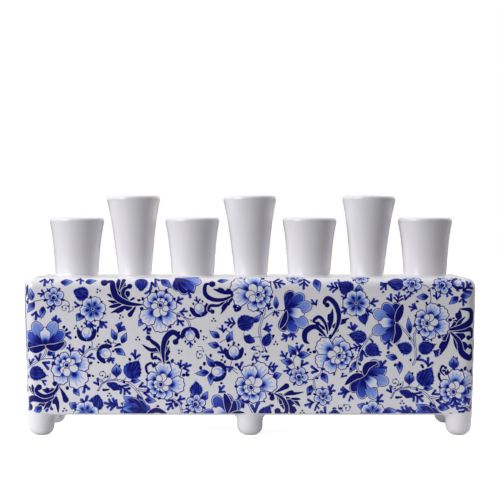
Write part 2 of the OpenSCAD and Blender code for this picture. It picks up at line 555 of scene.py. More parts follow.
class Pen:
    """Draws shapes in a frame of its own: moved to (x, y), turned and scaled on the sheet."""

    def __init__(self, shapes, x=0.0, y=0.0, turn=0.0, size=1.0):
        self.shapes = shapes
        self.x, self.y, self.turn, self.size = x, y, turn, size

    def at(self, x, y, turn=0.0, size=1.0):
        px, py = self.put((x, y))
        return Pen(self.shapes, px, py, self.turn + turn, self.size * size)

    def put(self, p):
        c, s = math.cos(math.radians(self.turn)), math.sin(math.radians(self.turn))
        x, y = p[0] * self.size, p[1] * self.size
        return self.x + c * x - s * y, self.y + s * x + c * y

    def fill(self, kind, points, grain=(0, 0, 0, 1, 1)):
        """Fills an outline. grain is the brush's own frame there: x, y, turn, length and width."""
        gx, gy, turn, along, across = grain
        ox, oy = self.put((gx, gy))
        self.shapes.append((kind, [self.put(p) for p in points],
                            (ox, oy, math.radians(self.turn + turn), along * self.size,
                             across * self.size)))

    def edged(self, kind, points, grain, edge=0.2):
        """A shape with a thin drawn outline."""
        self.fill("line", grown(points, edge + 0.06), grain)
        self.fill(kind, grown(points, -edge - 0.06), grain)

    def disc(self, kind, x, y, rx, ry=None, turn=0.0, edge=0.0, count=16):
        ry = rx if ry is None else ry
        c, s = math.cos(math.radians(turn)), math.sin(math.radians(turn))
        ring = []
        for k in range(count):
            a = 2 * math.pi * k / count
            u, v = rx * math.cos(a), ry * math.sin(a)
            ring.append((x + c * u - s * v, y + s * u + c * v))
        grain = (x, y, turn, rx, ry)
        if edge:
            self.edged(kind, ring, grain, edge)
        else:
            self.fill(kind, ring, grain)

    def stroke(self, kind, points, half, steps=5, gap=0.0):
        """A brush stroke. half is its half width: one number, or root, middle and tip. gap is the clear
        rim around it."""
        path = curve(points, steps=steps)
        if isinstance(half, (int, float)):
            half = (half, half, half)
        a, b, c = half
        (x0, y0), (x1, y1) = points[0], points[-1]
        turn = math.degrees(math.atan2(y1 - y0, x1 - x0))
        length = math.hypot(x1 - x0, y1 - y0) or 1.0

        def width(t):
            return a + (4 * b - 3 * a - c) * t + (2 * a + 2 * c - 4 * b) * t * t

        if gap:
            self.fill("glaze", ribbon(path, lambda t: width(t) + gap))
        self.fill(kind, ribbon(path, width), (x0, y0, turn, length, max(a, b, c)))

    def line(self, *points, half=0.24):
        self.stroke("line", points, half)

    def stem(self, *points, half=0.6):
        """A hollow stem: two fine lines side by side."""
        self.stroke("line", points, half + 0.22)
        self.stroke("glaze", points, half - 0.18)


# ---- motifs, each drawn from its own origin along its own +X ----


def dots(pen, x, y, turn=0.0):
    """Three dots in a small triangle."""
    p = pen.at(x, y, turn)
    for a in (90, 210, 330):
        p.disc("dark", 1.25 * math.cos(math.radians(a)), 1.05 * math.sin(math.radians(a)), 0.66, count=10)


def dot(pen, x, y, r, turn=0.0, stretch=1.35):
    """A dark dot, a little longer along turn than across."""
    pen.disc("dark", x, y, 1.15 * r * stretch, 1.15 * r, turn, count=12)


def finger(pen, x, y, turn, length, width, bend, kind="sprig"):
    """One rounded stroke, thin at its root and full at its tip."""
    p = pen.at(x, y, turn)
    p.stroke(kind, [(0, 0), (0.4 * length, bend * 0.6), (0.72 * length, bend),
                    (length - width / 2, bend * 0.9)],
             (width * 0.36, width * 0.54, width * 0.64), steps=3)


def sprig(pen, x, y, turn, size, fingers=3, spread=100.0):
    """A middle stroke around (x, y) along turn, with shorter side strokes that curl forwards."""
    size *= 1.2
    width = (0.24 if fingers < 4 else 0.2) * size
    p = pen.at(x, y, turn)
    root = -0.5 * size
    finger(p, root, 0, 0, size, width, 0.04 * size)
    for k in range(fingers - 1):
        side = 1 if k % 2 else -1
        finger(p, root + (0.02 + 0.13 * k) * size, 0, side * spread * 0.6, (0.7 - 0.08 * k) * size, width,
               -side * 0.16 * size)


def pair(pen, x, y, turn, size):
    """Two commas from one point, one longer than the other."""
    size *= 1.14
    p = pen.at(x, y, turn)
    finger(p, -0.48 * size, 0, -22, size, 0.29 * size, 0.14 * size)
    finger(p, -0.42 * size, 0.04 * size, 50, 0.72 * size, 0.3 * size, -0.14 * size)


def feather(pen, x, y, turn, size):
    """A larger sprig: a middle stroke with two pairs of side strokes."""
    size *= 1.14
    p = pen.at(x, y, turn)
    root = -0.5 * size
    finger(p, root, 0, 0, size, 0.18 * size, 0.02 * size)
    for side in (-1, 1):
        finger(p, root + 0.02 * size, 0, side * 62, 0.62 * size, 0.18 * size, -side * 0.1 * size)
        finger(p, root + 0.34 * size, 0, side * 56, 0.5 * size, 0.17 * size, -side * 0.08 * size)


def comma(pen, x, y, turn, size):
    """One dark curved stroke, full at its tip."""
    finger(pen.at(x, y, turn), -0.5 * size, 0, 0, 1.15 * size, 0.42 * size, 0.24 * size, "dark")


def centred(pen, x, y, turn, size):
    """A pen at the root of a motif of that size, so that the motif's middle comes to (x, y)."""
    dx, dy = polar(0.5 * size, turn)
    return pen.at(x - dx, y - dy, turn)


def leaf(pen, x, y, turn, size, width):
    """A small leaf, dark along its root and rib and pale towards its outlined tip, centred on (x, y)."""
    size, width = 1.06 * size, 1.14 * width
    p = centred(pen, x, y, turn, size)
    w = width / 2
    top = [(0, 0), (0.14 * size, 0.62 * w), (0.4 * size, w), (0.7 * size, 0.66 * w), (size, 0.0)]
    low = [(0.7 * size, -0.6 * w), (0.4 * size, -w), (0.14 * size, -0.62 * w)]
    p.edged("leaf", curve(top + low, closed=True, steps=4)[::-1], (0, 0, 0, size, w))
    p.stroke("dark", [(0.02 * size, 0), (0.3 * size, -0.12 * w), (0.62 * size, 0.05 * w)],
             (0.3 * w, 0.24 * w, 0.03))
    p.line((0.94 * size, 0), (1.16 * size, -0.1 * w), half=(0.2, 0.16, 0.06))


def ragged(pen, x, y, turn, size, width, tail=True):
    """A broad dark leaf with a ragged tip and paler veins, centred on (x, y)."""
    p = centred(pen, x, y, turn, size)
    w = width / 2
    top, low = [], []
    for k in range(1, 12):
        t = k / 12
        r = w * 1.1 * math.sin(math.pi * t ** 0.8) ** 0.66
        tooth = 0.055 * w * (1 if k % 2 else -1) if t > 0.3 else 0
        top.append((t * size * 1.04, r + tooth))
        low.append((t * size * 1.04, -r * 0.94 - tooth))
    outline = curve([(0, 0)] + low + [(size * 1.1, 0)] + top[::-1], closed=True, steps=2)
    p.fill("pale", grown(outline, 0.36), (0, 0, 0, size, w))
    p.fill("shade", outline, (0, 0, 0, size, w))
    for a, far in ((-0.62, 0.74), (-0.26, 0.9), (0.1, 0.96), (0.44, 0.82)):
        p.stroke("blue", [(0.2 * size, 0.25 * a * w), (0.5 * size, 0.8 * a * w), (far * size, a * w)],
                 (0.08, 0.17, 0.05), steps=3)
    if tail:
        p.stroke("dark", [(0.97 * size, 0), (1.12 * size, 0.1 * w), (1.26 * size, 0.05 * w)],
                 (0.5, 0.26, 0.06))


def veined(pen, x, y, turn, size, width, bend):
    """A long shaded leaf with a curled tail."""
    p = centred(pen, x, y, turn, size)
    w = width / 2
    top = [(0, 0), (0.2 * size, 0.7 * w), (0.5 * size, w + bend), (0.8 * size, 0.7 * w + bend),
           (size, 0.1 * w)]
    low = [(0.84 * size, -0.35 * w), (0.66 * size, -0.9 * w), (0.45 * size, -0.7 * w),
           (0.2 * size, -0.55 * w)]
    outline = curve(top + low, closed=True, steps=4)[::-1]
    p.fill("line", grown(outline, 0.25), (0, 0, 0, size, w))
    p.fill("shade", outline, (0, 0, 0, size, w))
    p.stroke("line", [(0.95 * size, 0.1 * w), (1.12 * size, -0.4 * w), (1.2 * size, -1.1 * w)],
             (0.3, 0.2, 0.05))


def budleaf(pen, x, y, turn, size):
    """A closed bud like a small tulip, with a dotted tip."""
    p = pen.at(x, y, turn, size / 7.0)
    side = [(-3.2, 0), (-1.6, 2.5), (0.4, 2.9), (2.2, 1.7), (3.8, 0), (2.2, -1.7), (0.4, -2.9),
            (-1.6, -2.5)]
    p.edged("leaf", curve(side, closed=True, steps=4)[::-1], (-3.4, 0, 0, 7.4, 2.9), 0.2)
    p.stroke("dark", [(-3.0, 0), (-0.5, 0), (2.2, 0)], (1.0, 0.55, 0.12))
    for s in (-1, 1):
        p.stroke("shade", [(-3.0, 0), (-1.2, 1.6 * s), (0.6, 2.1 * s)], (0.5, 0.5, 0.1))
    dot(p, 4.0, 0.2, 0.4)
    dot(p, 3.0, -1.9, 0.55)


def bud(pen, x, y, turn, size, crown=True):
    """A round bud: a pale oval held by two dark sepals, opening along turn."""
    p = pen.at(x, y, turn, size / 8.0)
    for s in (-1, 1):
        outer = [(-4.3, 0), (-4.2, 2.2 * s), (-2.9, 4.6 * s), (-0.4, 5.9 * s), (2.3, 6.3 * s),
                 (3.6, 5.3 * s), (2.6, 4.2 * s), (1.0, 2.4 * s), (-1.0, 1.0 * s)]
        turned = 1 if s < 0 else -1
        p.fill("dark", curve(outer, closed=True, steps=4)[::turned], (-3, 1.5 * s, 0, 5, 2))
    p.disc("glaze", 1.0, 0, 3.7, 3.3, edge=0.2)
    p.disc("pale", 0.7, 0, 2.5, 2.2)
    p.disc("glaze", 1.7, 0.3, 1.7, 1.5)
    p.stroke("wash", [(-1.7, -1.7), (-2.1, 0), (-1.7, 1.7)], (0.2, 0.6, 0.2), steps=3)
    for s in (-1, 1):
        dot(p, 5.0, 3.1 * s, 0.6)
    dot(p, -1.8, 6.9, 0.6)
    dot(p, -1.0, -7.0, 0.55)
    if crown:
        sprig(p, 7.0, 0, 0, 3.6)


def daisy(pen, x, y, turn, size):
    """A small flower of pale round petals around a ringed eye."""
    p = pen.at(x, y, turn, size / 6.5)
    petals = 5
    for k in range(petals):
        q = p.at(0, 0, 360 * k / petals + 36)
        if k % 2:
            sprig(q, 6.0, 0, 0, 2.4, 3, 80)
        else:
            dot(q, 6.3, 0, 0.7)
        dot(q, 4.6, 0, 1.0, 0, 1.1)
    for k in range(petals):
        q = p.at(0, 0, 360 * k / petals)
        r = 2.4 if k % 2 else 2.65
        q.disc("glaze", 4.0, 0, r, r, edge=0.26)
        q.disc("pale", 3.7, 0, r * 0.7, r * 0.64)
        q.disc("wash", 2.8, 0, 1.2, 1.0)
    p.disc("glaze", 0, 0, 2.1, edge=0.2)
    p.disc("dark", -0.25, -0.25, 1.4)
    p.disc("wash", 0.1, 0.15, 0.5)


def lobed(reach, count, spread, base):
    """A petal along +X: narrow at its root, with scallops on its outer edge, anticlockwise."""
    half = spread / 2
    out = []
    for k in range(-8, 9):
        t = k / 8
        scallop = 0.045 * abs(math.cos(math.pi * count * (t + 1) / 2)) if count else 0
        r = reach * (0.72 + 0.235 * (1 - abs(t) ** 3.2) + scallop)
        out.append(polar(r, half * t))
    root = [polar(reach * base, half * t) for t in (0.7, 0, -0.7)]
    return curve(out + root, closed=True, steps=2)


def blossom(pen, x, y, turn, size, petals):
    """A small flower of white scalloped petals with blue hearts."""
    p = pen.at(x, y, turn, size / 8.0)
    for k in range(petals):
        q = p.at(0, 0, 360 * (k + 0.5) / petals)
        if k % 2:
            dot(q, 7.6, 0, 0.75)
        else:
            dot(q, 7.2, 0, 0.6)
    for k in range(petals):
        q = p.at(0, 0, 360 * k / petals)
        q.edged("petal", lobed(8.2, 3, 372 / petals, 0.12), (3.5, 0, 0, 2.5, 1.9), 0.2)
        q.stroke("dark", [(1.0, 0), (2.2, 0.1), (3.4, 0)], (0.2, 0.3, 0.06))
    p.disc("glaze", 0, 0, 1.2, edge=0.17)
    p.disc("dark", 0, 0, 0.7)
    for k in range(petals):
        q = p.at(0, 0, 360 * (k + 0.5) / petals)
        q.line((1.2, 0), (3.2, 0.05), half=(0.26, 0.2, 0.12))


def peony(pen, x, y, turn, rx, ry, away, petals, first):
    """A large open flower. Its heart sits away along turn, so the petals on that side are the shortest."""
    p = pen.at(x, y, turn)

    def reach(angle):
        """Distance from the heart to the flower's edge in that direction."""
        c, s = math.cos(math.radians(angle)), math.sin(math.radians(angle))
        a = (c / rx) ** 2 + (s / ry) ** 2
        b = 2 * away * c / rx ** 2
        return (-b + math.sqrt(b * b - 4 * a * ((away / rx) ** 2 - 1))) / (2 * a)

    spots = [first + 360 * (k + 0.18 * math.sin(2.2 * k)) / petals for k in range(petals)]
    for k, a in enumerate(spots):
        far = reach(a + 180 / petals)
        q = p.at(away, 0, a + 180 / petals)
        dot(q, far * 0.95, 0, 1.0, 0, 1.2)
        if k % 2:
            dot(q, far * 1.09, 0.8, 0.6)
    for k in list(range(0, petals, 2)) + list(range(1, petals, 2)):
        a = spots[k]
        far = reach(a)
        q = p.at(away, 0, a)
        spread = min(360 / petals * (1.08 + 0.15 * (k % 2)), 62)
        heart = 0.4 * far + 0.8
        glow = min(0.27 * far, 3.9)
        q.edged("petal", lobed(far, 4 if far > rx else 3, spread, 0.3), (heart, 0, 0, glow, 0.9 * glow),
                0.27)
        q.disc("dark", heart - 0.2, 0, 1.15, 1.0, count=10)
        for b in (-0.9, 0.0, 0.9):
            if far > 0.9 * rx:
                q.stroke("pale", [(0.62 * far, 0.12 * b * far), (0.74 * far, 0.17 * b * far),
                                  (0.86 * far, 0.2 * b * far)], (0.15, 0.5, 0.1), steps=3)
    for k, a in enumerate(spots):
        far = reach(a + 180 / petals)
        q = p.at(away, 0, a + 180 / petals)
        r = 0.135 * far + 0.35
        q.disc("glaze", 0.28 * far + 0.3, 0, r * 1.15, r, edge=0.17)
    p.disc("pale", away, 0, 2.7, 2.4)
    p.disc("glaze", away, 0, 2.15, edge=0.17)
    p.disc("wash", away, 0, 1.5)
    p.disc("dark", away - 0.4, 0.35, 1.25, 1.0, 40)


def long_petal(pen, turn, length, width, kind, bend=0.0):
    """A lotus petal from the base point outwards: a coloured wash inside a white rim and a fine outline."""
    q = pen.at(0, 0, turn)
    w = width / 2
    top = [(0, 0.1 * w), (0.3 * length, 0.62 * w + bend * 0.5), (0.66 * length, w + bend),
           (0.9 * length, 0.72 * w + bend), (length, bend * 0.9)]
    low = [(0.9 * length, -0.72 * w + bend), (0.66 * length, -w + bend),
           (0.3 * length, -0.62 * w + bend * 0.5), (0, -0.1 * w)]
    outline = curve(top + low, closed=True, steps=3)[::-1]
    q.edged("glaze", outline, (0, 0, 0, length, w), 0.22)
    inner = [(px * 0.955, bend * 0.97 + (py - bend) * 0.88) for px, py in outline]
    q.fill(kind, inner, (0, bend, 0, length, w))


def lotus(pen, x, y, turn, size, lean=0.0, kinds=("shade", "blue", "wash")):
    """A half-open flower seen from the side: it opens along turn from its base point (x, y)."""
    p = pen.at(x, y, turn, size / 17.0)
    low, mid, high = kinds
    for s, length in ((1, 13.5 - lean), (-1, 13.5 + lean)):
        long_petal(p, 82 * s, length, 6.8, low, 1.2 * s)
    for s, length in ((1, 15.5 - lean), (-1, 15.5 + lean)):
        long_petal(p, 54 * s, length, 7.4, mid, 0.5 * s)
    for s, length in ((1, 17.0 - lean), (-1, 17.0 + lean)):
        long_petal(p, 26 * s, length, 7.8, high, -0.3 * s)
    for a in (-40, -13, 13, 40):
        p.stroke("dark", [(0.5, 0), polar(4.5, 1.2 * a), polar(9.5, a)], (1.3, 1.1, 0.1))
    scallops = [(0.6, 0), (3.5, 2.6), (7.5, 3.5), (9.2, 2.9), (9.9, 1.5), (11.4, 0.9), (12.0, 0),
                (11.4, -0.9), (9.9, -1.5), (9.2, -2.9), (7.5, -3.5), (3.5, -2.6)]
    p.edged("petal", curve(scallops, closed=True, steps=3)[::-1], (2.2, 0, 0, 3.6, 3.6), 0.2)
    p.disc("dark", 0.2, 0, 1.9, 1.5)
    for s in (-1, 1):
        p.stroke("dark", [(0, 0), (1.2, 3.2 * s), (3.4, 6.4 * s)], (1.3, 1.0, 0.1))


def half_flower(pen, x, y, petals):
    """A flower cut by the sheet's edge. Each petal is a direction, length, width and kind, and the last
    three have a dark stroke at their root."""
    p = pen.at(x, y)
    for turn, length, width, kind in petals:
        long_petal(p, turn, length, width, kind)
    for turn, length, _, _ in petals[-3:]:
        p.at(0, 0, turn).stroke("dark", [(0, 0), (0.3 * length, -0.8), (0.58 * length, -1.4)],
                                (1.2, 1.2, 0.1))


def spiral(pen, x, y, turn, hand, size):
    """A fine tendril that winds in on itself, with a small ball at its end and two along it."""
    p = pen.at(x, y, turn)
    path = []
    for k in range(25):
        path.append(polar(size * (0.22 + 0.78 * k / 24), 18 * k * hand))
    path += [(size * 1.45, size * 0.85 * hand), (size * 1.7, size * 0.2 * hand)]
    p.stroke("line", path, 0.2, steps=2)
    p.disc("dark", *path[0], 0.6)
    for k in (13, 19):
        p.disc("dark", *path[k], 0.62)


def arm(pen, *points, half=1.1, ball=0.0):
    """A solid scroll: it swells from a thin root, thins again, and may end in a ball."""
    pen.stroke("dark", points, (0.35, 1.06 * half + 0.1, 0.45 if ball else 0.12), steps=6, gap=0.34)
    if ball:
        pen.disc("dark", *points[-1], 1.05 * ball)


def plume(pen, x0, y0, x1, y1, width, lobes, side):
    """A solid scroll leaf from its root to its pointed tip, lobed along one side."""
    length = math.hypot(x1 - x0, y1 - y0)
    p = pen.at(x0, y0, math.degrees(math.atan2(y1 - y0, x1 - x0)))
    w = 0.52 * width
    edge = [(0, 0.25)]
    for k in range(lobes):
        a = (k + 0.55) / (lobes + 0.5)
        edge.append((length * (a - 0.12), side * w * (1.15 - 0.25 * k)))
        edge.append((length * (a + 0.1), side * w * (1.3 - 0.35 * k)))
        edge.append((length * (a + 0.16), side * w * (0.5 - 0.1 * k)))
    edge += [(length, 0), (length * 0.6, -side * w * 0.62), (length * 0.25, -side * w * 0.46), (0, -0.3)]
    outline = curve(edge, closed=True, steps=3)
    outline = outline if side < 0 else outline[::-1]
    p.fill("glaze", grown(outline, 0.34))
    p.fill("dark", outline, (0, 0, 0, length, w))


def drop(pen, x0, y0, x1, y1, r):
    """A solid drop that hangs from a fine root."""
    pen.stroke("dark", [(x0, y0), ((x0 + x1) / 2 + 0.2, (y0 + y1) / 2), (x1, y1)],
               (0.16, 0.56 * r, 0.98 * r), gap=0.34)


# ---- the layout of the print, by groups; x runs along the wall, y is the height above the ground ----


def many(draw, pen, rows):
    """Draws one motif several times, each row being its place and what else it takes."""
    for row in rows:
        draw(pen, *row)


def spray(pen):
    """A leafy spray that rises from the lower edge and ends in a peony."""
    pen.stem((-100.2, 30.5), (-97, 35.6), (-90, 37.5), (-85, 37), half=0.3)
    pen.stem((-87, 37.2), (-82, 35.8), (-76.4, 32.2), (-71.5, 25), (-70.6, 17))
    pen.line((-85, 37), (-83, 37.8), (-81, 41))
    pen.line((-90, 37.5), (-88.6, 38.6), (-88.2, 40))
    pen.stem((-74.8, 31.2), (-69, 30.2), (-63, 32), half=0.5)
    pen.line((-77.5, 35.8), (-80, 36.2), (-83, 36.4))
    spiral(pen, -98, 41, -60, -1, 3.4)
    pen.line((-97, 35.8), (-93, 38.5), (-92.5, 41.5))
    ragged(pen, -77.4, 43.8, 58, 12.0, 11.4)
    budleaf(pen, -88.3, 43.5, 90, 7.6)
    veined(pen, -90.5, 33, -28, 9.6, 4.6, 0.7)
    many(leaf, pen, ((-75.8, 36.9, 2, 5.4, 3.0), (-65.8, 23.9, -8, 6.4, 3.6)))
    feather(pen, -82.2, 30.6, -42, 7.4)
    many(pair, pen, (
        (-71, 33.4, 12, 4.4), (-68.2, 27.9, -24, 4.6), (-73.8, 25, -76, 4.6), (-101, 36.2, 112, 4.4)))
    many(sprig, pen, ((-75.8, 54.4, 86, 5.4), (-90.2, 21.8, 148, 5.4, 4, 100)))
    many(dot, pen, (
        (-79.5, 51.1, 0.8, 120), (-83.4, 36.0, 0.7, 120), (-86.2, 33.4, 0.7, 100),
        (-79.8, 31.9, 0.7, 140), (-94.2, 39.6, 0.6, 50), (-97.8, 36.8, 0.45), (-100.6, 30.5, 0.45),
        (-65, 31.6, 0.6, 10), (-62.4, 29.4, 0.8, 0), (-84.6, 21.6, 0.7, 130), (-61, 20, 0.7, 20)))
    comma(pen, -95.2, 31.4, 170, 3.6)
    dots(pen, -93.1, 27.4)
    half_flower(pen, -68.0, 13.0, (
        (98, 8.0, 5.4, "blue"), (183, 14.0, 6.6, "shade"), (118, 13.0, 6.4, "shade"),
        (167, 17.0, 7.0, "shade"), (134, 17.5, 7.2, "shade"), (150, 18.5, 7.2, "blue")))
    arm(pen, (-68.6, 14.2), (-62, 17.4), (-54.5, 14.6), half=1.5)
    feather(pen, -92.6, 21.6, 168, 7.6)
    pair(pen, -85.4, 18.6, 196, 5.0)
    many(leaf, pen, ((-80.4, 24.4, 150, 7.0, 4.2), (-80.0, 18.2, 178, 8.4, 4.2)))
    arm(pen, (-64.6, 39.8), (-68, 42.6), (-68.6, 46.6), (-65.4, 48.6), (-63.8, 46.8), half=0.75,
        ball=1.15)
    peony(pen, -55.5, 37.0, 214, 13.2, 12.2, 4.6, 8, 8)
    feather(pen, -52.6, 20.9, -122, 7.2)
    many(sprig, pen, ((-45.7, 48.2, 82, 4.4), (-41.4, 46.2, 20, 5.2), (-45.6, 24.3, 14, 5.0)))
    many(dot, pen, (
        (-51.4, 50.2, 0.9, 60), (-41.4, 40.8, 1.0, -10), (-60, 25.3, 0.8, 20), (-48.6, 21, 0.9, -50)))
    pen.stem((-50.6, 24.6), (-46.4, 21.2), (-44.8, 14.4), half=0.5)


def left_end(pen):
    """The left-hand end: a daisy, a lotus, a scroll and a peony among leaves."""
    pen.stem((-148.8, 44.9), (-141, 49.6), (-136, 53.6), (-134.4, 60), half=0.5)
    pen.line((-139, 50.8), (-132, 51.6), (-124.8, 49.4))
    pen.line((-130.7, 105.5), (-131.4, 101), (-128.9, 97.5))
    pen.line((-123.5, 90.5), (-120, 89), (-119.4, 86))
    pen.line((-134.5, 91), (-138, 90.4), (-143, 89.4))
    many(leaf, pen, (
        (-144.9, 94.2, 96, 7.4, 4.0), (-145.2, 85.4, -128, 7.6, 4.0), (-121.2, 102.4, 4, 7.0, 4.2),
        (-137.3, 82, -100, 7.2, 3.6), (-130.9, 56, 34, 6.6, 3.6), (-140.6, 17.4, -132, 7.0, 3.8),
        (-114.8, 29.4, -52, 5.4, 3.4)))
    many(sprig, pen, (
        (-136, 102.4, -92, 5.2), (-131.6, 103.6, -60, 3.6), (-138, 94.6, 176, 4.2),
        (-131.6, 84.6, -98, 4.2), (-128.2, 77, 84, 5.6, 5), (-141.6, 79.8, -96, 5.0),
        (-119, 58.6, 92, 4.2), (-112.4, 103.4, -88, 4.6)))
    many(pair, pen, (
        (-147.7, 89.6, 100, 3.4), (-120.2, 66.8, -20, 4.8), (-128.7, 52.6, 36, 3.8),
        (-139.7, 52.6, 86, 4.6), (-144.9, 49.6, 70, 4.4), (-134.7, 47.2, -36, 5.4),
        (-110.6, 57.6, 100, 4.8), (-104.9, 52.6, 0, 4.4), (-136.2, 35.8, -40, 3.6),
        (-133.2, 18.8, -100, 4.8), (-109, 31.6, -84, 5.2), (-108.9, 24, 92, 5.6),
        (-114.5, 87.4, 160, 4.0)))
    many(dot, pen, (
        (-123, 72.4, 0.8, 60), (-121.4, 70.6, 0.8, 60), (-106, 59, 0.7, 80), (-133, 62, 0.5),
        (-135.6, 60.6, 0.6, 40), (-130.2, 53.4, 0.45), (-130, 49, 0.7, -20), (-147.6, 39.4, 0.9, 110),
        (-148, 57.4, 1.2, 90), (-105.2, 48.6, 0.8, 40), (-148, 30.4, 0.6), (-147.2, 32, 0.45),
        (-100.8, 25.8, 0.9, 90)))
    pen.stroke("dark", [(-149, 101.5), (-148, 97.5), (-148.8, 93)], (0.5, 1.1, 0.4))
    spiral(pen, -122.4, 84.6, 20, -1, 3.2)
    many(dots, pen, ((-115, 72.2), (-100.3, 96.4, 30), (-122.7, 17.5, 10)))
    daisy(pen, -129.6, 92.2, 20, 6.6)
    ragged(pen, -141, 41.6, -14, 10.8, 9.0)
    ragged(pen, -111.4, 94.6, 160, 9.4, 8.8, tail=False)
    ragged(pen, -101.7, 22.0, 80, 9.8, 9.4, tail=False)
    leaf(pen, -113, 79, -120, 5.4, 4.4)
    blossom(pen, -103.9, 84.2, 10, 8.4, 6)
    many(sprig, pen, ((-104.4, 72.8, -76, 5.0, 4, 100), (-97, 74.2, -50, 5.6, 4, 100)))
    lotus(pen, -135.2, 60.6, 92, 17.0)
    arm(pen, (-135, 60), (-141, 57.4), (-146.5, 57.8), half=2.0)
    arm(pen, (-135, 60), (-129, 58.8), (-122.6, 62.4), half=2.2)
    # scroll at the lower left
    many(plume, pen, (
        (-127.6, 31.6, -135.2, 30.4, 3.6, 1, 1), (-129.6, 28.4, -137.6, 31.2, 4.6, 2, -1),
        (-131, 25.4, -140.6, 20.4, 4.6, 2, 1), (-129.6, 26.4, -136.6, 17.6, 4.0, 2, 1),
        (-128.2, 27.6, -127.0, 15.4, 4.4, 1, -1)))
    many(drop, pen, ((-125.8, 32.6, -121.8, 24.2, 2.1), (-126.4, 34.6, -129, 35, 1.9)))
    many(arm, pen, (
        ((-138.6, 27.2), (-143, 29), (-147.6, 33.4)), ((-141, 28), (-143.6, 31), (-144.2, 34.6))))
    arm(pen, (-129.6, 26.2), (-136, 24), (-143.6, 25.2), (-147.6, 22.6), (-146.4, 19.4), half=1.9,
        ball=2.4)
    arm(pen, (-126.4, 35.4), (-129.4, 29.2), (-135.4, 26.6), (-140.4, 28.6), (-141.4, 31.6),
        (-139.6, 32.6), half=1.2, ball=1.9)
    pen.line((-125, 36), (-126.4, 32), (-129.6, 27.4), (-134, 22))
    peony(pen, -118.1, 43.8, 132, 13.2, 12.6, 4.8, 7, 20)
    # bud on a stem, between the peony and the scroll
    pen.stem((-111.6, 51.6), (-106.6, 57.6), (-101, 57.6), (-98, 56.8), half=0.45)
    pen.line((-104.6, 59), (-104.4, 62.4), (-106.4, 64.4))
    bud(pen, -108, 67.6, 90, 8.4)
    # cut by the lower edge
    blossom(pen, -108.5, 15.4, 12, 8.2, 6)
    leaf(pen, -117.2, 20.6, 150, 4.8, 4.4)


